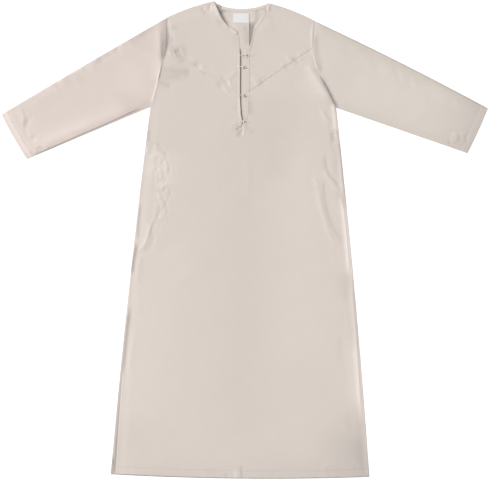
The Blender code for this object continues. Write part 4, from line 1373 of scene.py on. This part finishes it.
@dataclass(frozen=True)
class Back:
    """The back panel, flat on the surface below, with its neck binding and label."""

    cut: Cut = Cut(0.82, 1.50, 0.99)
    binding_cut: Cut = Cut(0.0105, 0.145, 0.00138)
    label_cut: Cut = Cut(0.049, 0.028, 0.00137)
    top: float = 1.15
    across: tuple[Point, ...] = ((90, 6), (60, 12), (170, 9), (60, 12), (90, 6))
    down: tuple[Point, ...] = ((60, 3), (120, 10), (400, 25), (900, 40))
    binding_width: float = 9.5
    binding_rise: Point = (0.75, 0.25)
    label_x: Point = (-33, 16)
    label_y: Point = (669, 697)
    label_rise: tuple[float, float, float] = (2.1, 0.5, 0.12)
    label_fold: float = 0.86
    label_sewn: float = 2.2

    def surface(self, plan: Array) -> Fields:
        """A flat upper face with faint waves, and painted shadow beside and inside the front."""
        return self.top + FAINT.at(plan), folded(plan, BACK_SHADES)[1]

    def build(self, finishes: Finishes) -> list[Object]:
        """The panel, its binding and its label.

        Args:
            finishes: the robe's materials.

        Returns:
            The pieces made.
        """
        across, down = steps(*self.across), steps(*self.down)
        cuts = np.linspace(0, 1, LINE_CELLS)
        top = np.vstack((LEFT.shoulder(cuts)[::-1][:-1], smooth_path(BACK_NECKLINE)[:-1], RIGHT.shoulder(cuts)))
        sides = (resampled(np.vstack((half.armhole(40)[:-1], half.back_side(cuts))), down) for half in HALVES)
        hem = bowed(LEFT.hem_end, RIGHT.hem_end, HEM_BOW, across)
        grid = patch(*sides, resampled(top, across), hem, across, down)
        # the back panel takes the cotton painted lighter than the front's
        panel = Shell("back_cloth", [grid], self.surface, wall=5, floor=0.0).build(finishes.inside)
        return [*self.cut.lay(panel, BELOW, rests_on=()), *self.binding(finishes), *self.label(finishes)]

    def binding(self, finishes: Finishes) -> list[Object]:
        """The binding on the back neckline with its two rows of stitches.

        Args:
            finishes: the robe's materials.

        Returns:
            The pieces made.
        """
        line = smooth_path(BACK_NECKLINE, 120)[20:-12]
        grid = np.stack([beside(line, -self.binding_width * share) for share in np.linspace(0, 1, 9)], axis=1)

        def surface(plan: Array) -> Fields:
            """A low pillow across the strip."""
            (rise, fall), share = self.binding_rise, distance(plan, line) / self.binding_width
            return self.top + rise - fall * (2 * share - 1) ** 4, np.zeros(len(plan))

        piece = Shell("back_neck_binding", [grid], surface, wall=0.5).build(finishes.binding)
        rows = [StitchRow(beside(line, -self.binding_width * share), surface) for share in (0.12, 0.88)]
        stitches = sew("back_neck_stitches", rows, finishes.thread)
        return [*self.binding_cut.lay(piece, "neck_binding_back"), stitches]

    def label(self, finishes: Finishes) -> list[Object]:
        """The bare label, its two ends folded under and sewn down.

        Args:
            finishes: the robe's materials.

        Returns:
            The pieces made.
        """
        grid = np.stack(np.meshgrid(np.linspace(*self.label_x, 41), np.linspace(*self.label_y, 25)), axis=-1)
        middle, half = np.mean(self.label_x), np.ptp(self.label_x) / 2
        rest, arch, fold = self.label_rise

        def surface(plan: Array) -> Fields:
            """A slight arch between the sewn ends, thicker where the ends are folded under."""
            share = (plan[:, 0] - middle) / half
            return rest + arch * (1 - share**4) + fold * (np.abs(share) > self.label_fold), np.zeros(len(plan))

        piece = Shell("bare_label", [grid], surface, wall=0.4, floor=1.3).build(finishes.label)
        ends = (self.label_x[0] + self.label_sewn, self.label_x[1] - self.label_sewn)
        lines = [np.array(((at, self.label_y[0] + 1), (at, self.label_y[1] - 1))) for at in ends]
        rows = [StitchRow(line, surface, pitch=2.2, length=1.6) for line in lines]
        stitches = sew("label_stitches", rows, finishes.thread)
        return [*self.label_cut.lay(piece, "neck_label"), stitches]


@dataclass(frozen=True)
class Front:
    """The front panel below the V seams, open down the middle to the slit's foot."""

    cut: Cut = Cut(0.80, 1.35, 0.88)
    across: tuple[Point, ...] = ((4.5, 0.9), (14, 2), (136, 3.3), (150, 8.5), (26, 2.2))
    down: tuple[Point, ...] = ((4, 1), (20, 1.8), (60, 4), (470, 9), (440, 3.6), (60, 3))
    up: tuple[Point, ...] = ((225, 4.4), (26, 1.8))
    seam_shift: float = 0.15
    sewn: Point = (0.012, 0.988)

    def half_grid(self, half: Half, start: float, end: float) -> list[Array]:
        """One half as two patches: hem to the slit's foot, and on to the V seam.

        Args:
            half: the half of the robe.
            start: the hem's share at this half's side.
            end: the hem's share at the middle.

        Returns:
            Two plan grids that share an edge.
        """
        armpit, foot = half.armhole_lower[-1], np.array(half.slit_lower[-1], float)
        level = (armpit[1] - foot[1]) / (armpit[1] - half.hem_end[1])
        across, down, up = steps(*self.across), steps(*self.down), steps(*self.up)
        side = half.front_side(1 - down * (1 - level))
        hem_middle = front_hem([end])[0]
        middle = hem_middle + (foot - hem_middle) * down[:, None]
        hem = front_hem(start + (end - start) * across)
        top = side[-1] + (foot - side[-1]) * across[:, None]
        armhole = smooth_path(half.armhole_lower)[::-1]
        upper_side = resampled(np.vstack((half.front_side(np.linspace(level, 0, 20))[:-1], armhole)), up)
        slit = resampled(smooth_path(half.slit_lower)[::-1], up)
        seam = upper_side[-1] + (slit[-1] - upper_side[-1]) * across[:, None]
        upper = patch(upper_side, slit, top, seam, across, up)
        upper[-1, :, 1] -= self.seam_shift
        return [patch(side, middle, hem, top, across, down), upper]

    def build(self, finishes: Finishes) -> list[Object]:
        """The panel with its hem stitches.

        Args:
            finishes: the robe's materials.

        Returns:
            The pieces made.
        """
        blocks = self.half_grid(LEFT, 0, 0.5) + self.half_grid(RIGHT, 1, 0.5)
        panel = Shell("front_cloth", blocks, LAY.front).build(finishes.cloth)
        line = beside(front_hem(np.linspace(*self.sewn, 160)), LAY.hem_turn)
        stitches = sew("hem_stitches", [StitchRow(line, LAY.front)], finishes.thread)
        return self.cut.lay(panel, "front_panel", sewn=(stitches,))


@dataclass(frozen=True)
class Yoke:
    """One front yoke with its neck binding and the stitches along its V seam."""

    half: Half
    cut: Cut
    binding_cut: Cut
    relief: float
    binding_width: float = 9.5
    binding_crown: float = 0.4
    across: tuple[Point, ...] = ((16, 1.3), (30, 2.2), (120, 3.2), (26, 1.8))
    down: tuple[Point, ...] = ((20, 1.2), (250, 2.7), (20, 1.1))
    sewn: Point = (0.02, 0.98)
    sewn_below: float = 2.4

    def grid(self) -> Array:
        """A patch from the neckline and slit to the armhole, and from the shoulder to the V seam.

        Returns:
            A plan grid.
        """
        half = self.half
        across, down = steps(*self.across), steps(*self.down)
        inner = resampled(np.vstack((half.neck(), smooth_path(half.slit_upper)[1:])), down)
        outer = resampled(smooth_path(half.armhole_upper), down)
        return patch(inner, outer, half.shoulder(across), half.v_seam(1 - across), across, down)

    def binding_surface(self, plan: Array) -> Fields:
        """A low pillow on the yoke along its neckline.

        Args:
            plan: points, one to a row.

        Returns:
            Heights and shade.
        """
        share = distance(plan, self.half.neck()) / self.binding_width
        height, shade = LAY.front(plan)
        return height + self.relief * (1 - self.binding_crown * (2 * share - 1) ** 4), shade

    def build(self, finishes: Finishes) -> list[Object]:
        """The yoke, its binding and its stitches.

        Args:
            finishes: the robe's materials.

        Returns:
            The pieces made.
        """
        half, word, surface = self.half, self.half.side.word, self.binding_surface
        panel = Shell(f"yoke_cloth_{word}", [self.grid()], LAY.front).build(finishes.cloth)
        seam = half.aside(half.v_seam(np.linspace(*self.sewn, 40)), self.sewn_below)
        sewn = sew(f"yoke_stitches_{word}", [StitchRow(seam, LAY.front)], finishes.thread)
        yoke = self.cut.lay(panel, f"yoke_{word}", sewn=(sewn,))
        lines = [half.aside(half.neck(), self.binding_width * t) for t in (*np.linspace(0, 1, 9), 0.14, 0.86)]
        shell = Shell(f"neck_binding_cloth_{word}", [np.stack(lines[:-2], axis=1)], surface, wall=0.9, floor=3.0)
        binding = shell.build(finishes.binding)
        rows = [StitchRow(line, surface, pitch=2.6, length=1.8) for line in lines[-2:]]
        sewn = sew(f"neck_stitches_{word}", rows, finishes.thread)
        return yoke + self.binding_cut.lay(binding, f"neck_binding_{word}", (f"yoke_{word}",), (sewn,))


@dataclass(frozen=True)
class Sleeve:
    """One sleeve pressed flat: a tube of cloth, open at the armhole and at the cuff."""

    half: Half
    blush: float
    cut: Cut = Cut(0.62, 0.58, 0.22)
    wall: float = 0.6
    inner_floor: float = 1.28
    across: tuple[Point, ...] = ((5, 0.8), (12, 2), (200, 3.6), (12, 2), (5, 0.8))
    down: tuple[Point, ...] = ((14, 1.4), (60, 3), (420, 4.6), (12, 2), (14, 1.4), (12, 1.6))
    seam_shift: float = -1.4
    sewn: Point = (0.03, 0.97)

    def surface(self, plan: Array) -> Fields:
        """The sleeve's upper face."""
        return LAY.sleeve(self.half, plan)

    def plan(self) -> Array:
        """The sleeve's plan as a patch from the armhole to the cuff.

        Returns:
            A plan grid.
        """
        half, across, down = self.half, steps(*self.across), steps(*self.down)
        start = resampled(half.armhole(80), across)
        start[:, 0] += half.side.value * self.seam_shift
        top = bowed(tuple(start[0]), half.sleeve_top_end, half.sleeve_top_bow, down)
        foot = bowed(tuple(start[-1]), half.sleeve_foot_end, 0, down)
        return patch(top, foot, start, half.cuff(across), across, down)

    def tube(self) -> tuple[Array, list, Array]:
        """Rings that go over the top from fold to fold and back along the surface below.

        Returns:
            Points, faces and each point's shade.
        """
        plan = self.plan()
        height, shade = (field.reshape(plan.shape[:2]) for field in self.surface(plan.reshape(-1, 2)))
        inner_top = np.dstack((plan, np.maximum(height - self.wall, self.inner_floor)))
        width = plan[:, -1] - plan[:, 0]
        inward = width * (self.wall / np.linalg.norm(width, axis=1)[:, None])
        inner_top[:, 0, :2] += inward
        inner_top[:, -1, :2] -= inward
        below = plan[:, -2:0:-2]
        outer, inner = (
            np.concatenate((top, np.dstack((below, np.full(below.shape[:2], level)))), axis=1)
            for top, level in ((np.dstack((plan, height)), 0.0), (inner_top, self.wall))
        )
        index = np.arange(outer[..., 0].size).reshape(outer.shape[:2])
        after = np.roll(index, -1, axis=1)
        start = np.stack((index[0], index[0] + index.size, after[0] + index.size, after[0]), axis=-1)
        end = np.stack((after[-1], after[-1] + index.size, index[-1] + index.size, index[-1]), axis=-1)
        faces = np.vstack((skin(index), skin(index)[:, ::-1] + index.size, start, end))
        if self.half.side is Side.RIGHT:
            faces = faces[:, ::-1]
        shade = np.concatenate((shade, np.zeros(below.shape[:2])), axis=1).reshape(-1)
        return np.vstack((outer.reshape(-1, 3), inner.reshape(-1, 3))), faces.tolist(), np.tile(shade, 2)

    def build(self, finishes: Finishes) -> list[Object]:
        """The sleeve with the stitches of its cuff.

        Args:
            finishes: the robe's materials.

        Returns:
            The pieces made.
        """
        half, word = self.half, self.half.side.word
        points, faces, shade = self.tube()
        along = np.subtract(half.sleeve_top_end, half.armhole_upper[0])
        along = along / np.linalg.norm(along)
        uv = points[:, :2] @ np.array((along, (-along[1], along[0]))).T
        name = f"sleeve_cloth_{word}"
        piece = make_piece(name, points, faces, finishes.cloth, shade, self.blush, uv)
        line = half.aside(half.cuff(np.linspace(*self.sewn, LINE_CELLS)), -LAY.hem_turn)
        stitches = sew(f"cuff_stitches_{word}", [StitchRow(line, self.surface)], finishes.thread)
        return self.cut.lay(piece, f"sleeve_{word}", rests_on=(), sewn=(stitches,))


@dataclass(frozen=True)
class PocketBag:
    """One pocket bag, pressed flat between front and back.

    Its rows hold y and the x of its inner and its outer edge.
    """

    side: Side
    rows: tuple[tuple[float, float, float], ...]
    cut: Cut = Cut(0.06, 0.27, 0.0105)
    top: float = 1.75

    def surface(self, plan: Array) -> Fields:
        """Nearly flat."""
        return self.top + FAINT.at(plan), np.zeros(len(plan))

    def build(self, finishes: Finishes) -> list[Object]:
        """A sheet between the bag's inner and outer edge.

        Args:
            finishes: the robe's materials.

        Returns:
            The pieces made.
        """
        table = np.array(self.rows, float)
        inner, outer = (resampled(table[:, (edge, 0)], np.linspace(0, 1, 33))[:, None] for edge in (1, 2))
        across = np.linspace(0, 1, 9)[None, :, None]
        grid = inner * (1 - across) + outer * across
        shell = Shell(f"pocket_cloth_{self.side.word}", [grid], self.surface, wall=0.5)
        return self.cut.lay(shell.build(finishes.inside), f"pocket_bag_{self.side.word}")


@dataclass(frozen=True)
class Placket:
    """The strip behind the slit, the stitches down both of its edges and the tack at its foot."""

    buttons: tuple[Point, ...]
    cut: Cut = Cut(0.037, 0.347, 0.0128)
    across: tuple[Point, ...] = ((3, 0.7), (31, 2.2), (3, 0.7))
    edge_roll: Point = (2.0, 0.35)
    # painted shadow of the left front's edge beside the slit, painted shade on the strip's top inside the neck
    # opening, and a painted shadow under each button
    slit_shadow: Point = (0.6, 4.5)
    slit_shadow_to: float = 8
    inner_shade: Crease = Crease(((2, 664), (6, 645), (8, 628), (8, 600)), 0, 8, 9, 0.13, 0.15)
    button_shadow: float = 0.4
    button_offset: Point = (1.5, -2.5)
    button_reach: Point = (5, 2.4)
    sewn_x: Point = (-17.5, 14.5)
    sewn_from: float = 600
    slit_sewn: float = 5.2
    tack_x: Point = (-14, -6)
    tack_y: Point = (336, 346)

    def surface(self, plan: Array) -> Fields:
        """The strip's upper face: it rises to the neck, and its long edges round off.

        Args:
            plan: points, one to a row.

        Returns:
            Heights and painted shade: the left front's shadow beside the slit's left edge, shade on the strip's top
                inside the neck opening and each button's shadow.
        """
        sides = np.minimum(plan[:, 0] - LAY.guard_edge[0], LAY.guard_edge[1] - plan[:, 0])
        height = LAY.guard(plan) - roll(sides, *self.edge_roll) + FAINT.at(plan)
        # painted shadow beside the slit's left edge, painted shade at the strip's top and painted shadows under the
        # buttons
        dusk, reach = self.slit_shadow
        shown = smoothstep((LAY.pressed_from + self.slit_shadow_to - plan[:, 1]) / LAY.pressed_ease[1])
        shade = dusk * ridge(distance(plan, LEFT.slit(30)), reach) * shown
        shade += self.inner_shade.shade * self.inner_shade.bell(plan)
        for button in self.buttons:
            away = ((plan - button - self.button_offset) / self.button_reach) ** 2
            shade += self.button_shadow * np.exp(-away.sum(axis=1))
        return height, shade

    def build(self, finishes: Finishes) -> list[Object]:
        """The strip, its stitches, the slit's stitches and the tack.

        Args:
            finishes: the robe's materials.

        Returns:
            The pieces made.
        """
        x = LAY.guard_edge[0] + np.ptp(LAY.guard_edge) * steps(*self.across)
        grid = np.stack(np.meshgrid(x, np.linspace(*LAY.guard_ends, 110)), axis=-1)
        piece = Shell("placket_guard_cloth", [grid], self.surface, wall=0.8).build(finishes.cloth)
        lines = [np.array(((at, self.sewn_from), (at, LAY.guard_ends[1] - 2))) for at in self.sewn_x]
        stitches = sew("guard_stitches", [StitchRow(line, self.surface) for line in lines], finishes.thread)
        guard = self.cut.lay(piece, "placket_guard", sewn=(stitches,))
        rows = [StitchRow(half.aside(half.slit(80), self.slit_sewn)[2:-6], LAY.front) for half in HALVES]
        bars = [np.array([(x, y) for x in self.tack_x]) for y in np.linspace(*self.tack_y, 8)]
        tacks = [StitchRow(bar, LAY.front, pitch=3, length=3.2, radius=0.3, lift=0.3) for bar in bars]
        return [*guard, sew("slit_stitches", rows, finishes.thread), sew("slit_tack", tacks, finishes.cord)]


@dataclass(frozen=True)
class Fastening:
    """One knotted button and the cord loop that holds it."""

    number: int
    ball_x: float
    y: float
    core: float = 2.1
    cord: float = 0.8
    stem: float = 19
    stem_turns: float = 2.5
    stem_twist: Point = (0.62, 0.45)
    stem_dip: float = 2.2
    tail: tuple[Point, ...] = ((24, 2.6), (17, 2.0), (10, 1.7))
    loop_from: float = 62
    bars: tuple[float, ...] = (11, 14, 17)
    bar_half: float = 3.2
    bar_radius: float = 0.28

    def span(self, word: str) -> tuple[Array, Array]:
        """The lowest and highest corner, in millimetres, of this fastening's solid of that name."""
        low, high = (np.array(corner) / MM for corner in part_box(f"{word}_{self.number}"))
        return low, high

    def ball(self, centre: Array) -> list[Body]:
        """A round core inside a cord wound as a knot: longitude 3t and latitude 1.15 sin(5t) on a sphere.

        Args:
            centre: the ball's middle.

        Returns:
            The cord and the core.
        """
        t = np.linspace(0, 2 * np.pi, 121)
        latitude, longitude = 1.15 * np.sin(5 * t), 3 * t
        radial = np.column_stack((
            np.sin(latitude), np.cos(latitude) * np.cos(longitude), np.cos(latitude) * np.sin(longitude),
        ))
        path = centre + radial * (self.core + 0.25 * np.cos(10 * t)[:, None])
        polar = np.linspace(0.05, np.pi - 0.05, 14)
        spine = centre + np.column_stack((-self.core * np.cos(polar), np.zeros(14), np.zeros(14)))
        return [tube(path, self.cord * 0.85, radial, 8), tube(spine, self.core * np.sin(polar), UP, 14)]

    def strand(self, centre: Array, phase: float) -> Body:
        """One strand of the stem, a helix that runs out from the ball and dips under the front.

        Args:
            centre: the ball's middle.
            phase: where the strand's turns start.

        Returns:
            Points and faces.
        """
        share = np.linspace(0, 1, 40)
        twist = 2 * np.pi * self.stem_turns * share + phase
        wide, high = self.stem_twist
        dip = self.stem_dip * smoothstep((share - 0.6) / 0.35)
        path = np.column_stack((
            centre[0] - self.core - (self.stem - self.core) * share,
            centre[1] + wide * np.cos(twist),
            centre[2] - 0.4 * share + high * np.sin(twist) - dip,
        ))
        return tube(path, self.cord * 0.8, UP, 8)

    def loop(self, centre: Array) -> list[Body]:
        """A cord that runs in from the right, passes round the ball under its stem and runs back.

        Args:
            centre: the ball's middle.

        Returns:
            The cord and the three bars that hold its tails.
        """
        low, high = self.span("loop")
        ring = centre[0] - low[0] - self.cord
        turn = np.radians(np.linspace(self.loop_from, 180, 9))
        arc = np.column_stack((ring * np.cos(turn), ring * np.sin(turn)))
        half = smooth_path(np.vstack((self.tail, arc)), 30)
        plan = np.vstack((half, half[-2::-1] * (1, -1)))
        climb = smoothstep((plan[:, 0] + ring) / (ring + 8.5))
        bottom, top = low[2] + self.cord, high[2] - self.cord
        sunk = 1.5 * smoothstep((plan[:, 0] - 7) / 7)
        path = np.column_stack((centre[:2] + plan, bottom + (top - bottom) * climb - sunk))
        parts = [tube(path, self.cord, UP, 8)]
        bar = np.linspace(-1, 1, 9)
        for at in self.bars:
            arch = top - 0.7 - 1.2 * bar**4
            spine = np.column_stack((np.full(9, centre[0] + at), centre[1] + self.bar_half * bar, arch))
            parts.append(tube(spine, self.bar_radius, np.array((1.0, 0, 0)), 6))
        return parts

    def build(self, finishes: Finishes) -> list[Object]:
        """The button with its twisted stem, and the loop with its two sewn tails.

        Args:
            finishes: the robe's materials.

        Returns:
            The pieces made.
        """
        low, high = self.span("knot")
        centre = np.array((self.ball_x, self.y, (low[2] + high[2]) / 2))
        button = self.ball(centre) + [self.strand(centre, phase) for phase in (0, np.pi)]
        knot = make_piece(f"knotted_button_{self.number}", *joined(button), finishes.cord)
        loop = make_piece(f"cord_loop_{self.number}", *joined(self.loop(centre)), finishes.cord)
        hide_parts(f"knot_{self.number}")
        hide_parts(f"loop_{self.number}")
        return [knot, loop]


# ---- studio


@dataclass(frozen=True)
class Studio:
    """Pale floor, soft light from the left and a camera straight above.

    Each lamp is a name, a strength, the width of its glow and its turn, both in degrees.
    """

    width: float = 1.4982
    camera_at: tuple[float, float, float] = (0.0003, 0, 2.5)
    floor_half: float = 4.5
    floor_z: float = -0.0004
    floor_colour: tuple[float, ...] = (0.25, 0.25, 0.25, 1)
    floor_roughness: float = 0.9
    floor_glow: float = 0.9
    sky: float = 0.45
    lamps: tuple[tuple, ...] = (("key", 3.5, 25, (55, 0, -115)), ("fill", 0.3, 60, (30, 0, 60)))

    def build(self) -> None:
        """Everything around the robe."""
        scene = bpy.context.scene
        scene.view_settings.view_transform = "Standard"
        self.floor()
        scene.world = bpy.data.worlds.new("studio")
        scene.world.use_nodes = True
        sky = scene.world.node_tree.nodes["Background"]
        sky.inputs["Color"].default_value = WHITE
        sky.inputs["Strength"].default_value = self.sky
        for name, power, spread, turn in self.lamps:
            light = bpy.data.lights.new(name, "SUN")
            light.energy = power
            light.angle = np.radians(spread)
            lamp = bpy.data.objects.new(name, light)
            lamp.rotation_euler = np.radians(turn)
            lamp.location = (0, 0, 3)
            scene.collection.objects.link(lamp)
        camera = bpy.data.cameras.new("camera")
        camera.type = "ORTHO"
        camera.ortho_scale = self.width
        viewer = bpy.data.objects.new("camera", camera)
        viewer.location = self.camera_at
        scene.collection.objects.link(viewer)
        scene.camera = viewer

    def floor(self) -> None:
        """A plain matt floor just under the robe."""
        mesh = bpy.data.meshes.new("floor")
        ways = ((-1, -1), (1, -1), (1, 1), (-1, 1))
        corners = [(self.floor_half * x, self.floor_half * y, self.floor_z) for x, y in ways]
        mesh.from_pydata(corners, [], [(0, 1, 2, 3)])
        material, tree = new_material("floor")
        shader = tree.node(
            "ShaderNodeBsdfPrincipled", in_Base_Color=self.floor_colour, in_Roughness=self.floor_roughness,
            in_Emission_Color=WHITE, in_Emission_Strength=self.floor_glow,
        )
        tree.node("ShaderNodeOutputMaterial", in_0=shader.outputs[0])
        mesh.materials.append(material)
        floor = bpy.data.objects.new("floor", mesh)
        bpy.context.scene.collection.objects.link(floor)


BAG_LEFT = (
    (266, -270, -285), (228, -262, -296), (170, -258, -303), (109, -261, -309),
    (60, -271, -311), (22, -289, -314), (-6, -305, -315),
)
BAG_RIGHT = (
    (258, 250, 284), (222, 244, 288), (170, 241, 294), (109, 246, 300),
    (58, 259, 302), (20, 276, 305), (-6, 292, 305),
)
BUTTONS = ((6, 569), (-3, 533), (-2.5, 446), (-0.8, 365))


def main() -> None:
    """Builds the studio and the robe, and reports its pieces."""
    logging.basicConfig(level=logging.INFO, format="%(name)s: %(message)s")
    Studio().build()
    finishes = Finishes()
    parts = (
        Back(),
        Front(),
        Yoke(LEFT, Cut(0.245, 0.305, 0.048), Cut(0.0105, 0.137, 0.00134), 1.2),
        Yoke(RIGHT, Cut(0.23, 0.295, 0.042), Cut(0.0105, 0.103, 0.00098), 0.6),
        Sleeve(LEFT, 0.45),
        Sleeve(RIGHT, -0.1),
        PocketBag(Side.LEFT, BAG_LEFT),
        PocketBag(Side.RIGHT, BAG_RIGHT),
        Placket(BUTTONS),
        *(Fastening(number, *button) for number, button in enumerate(BUTTONS, 1)),
    )
    for part in parts:
        for piece in part.build(finishes):
            log.info("%s: %d faces", piece.name, len(piece.data.polygons))


if __name__ == "__main__":
    main()
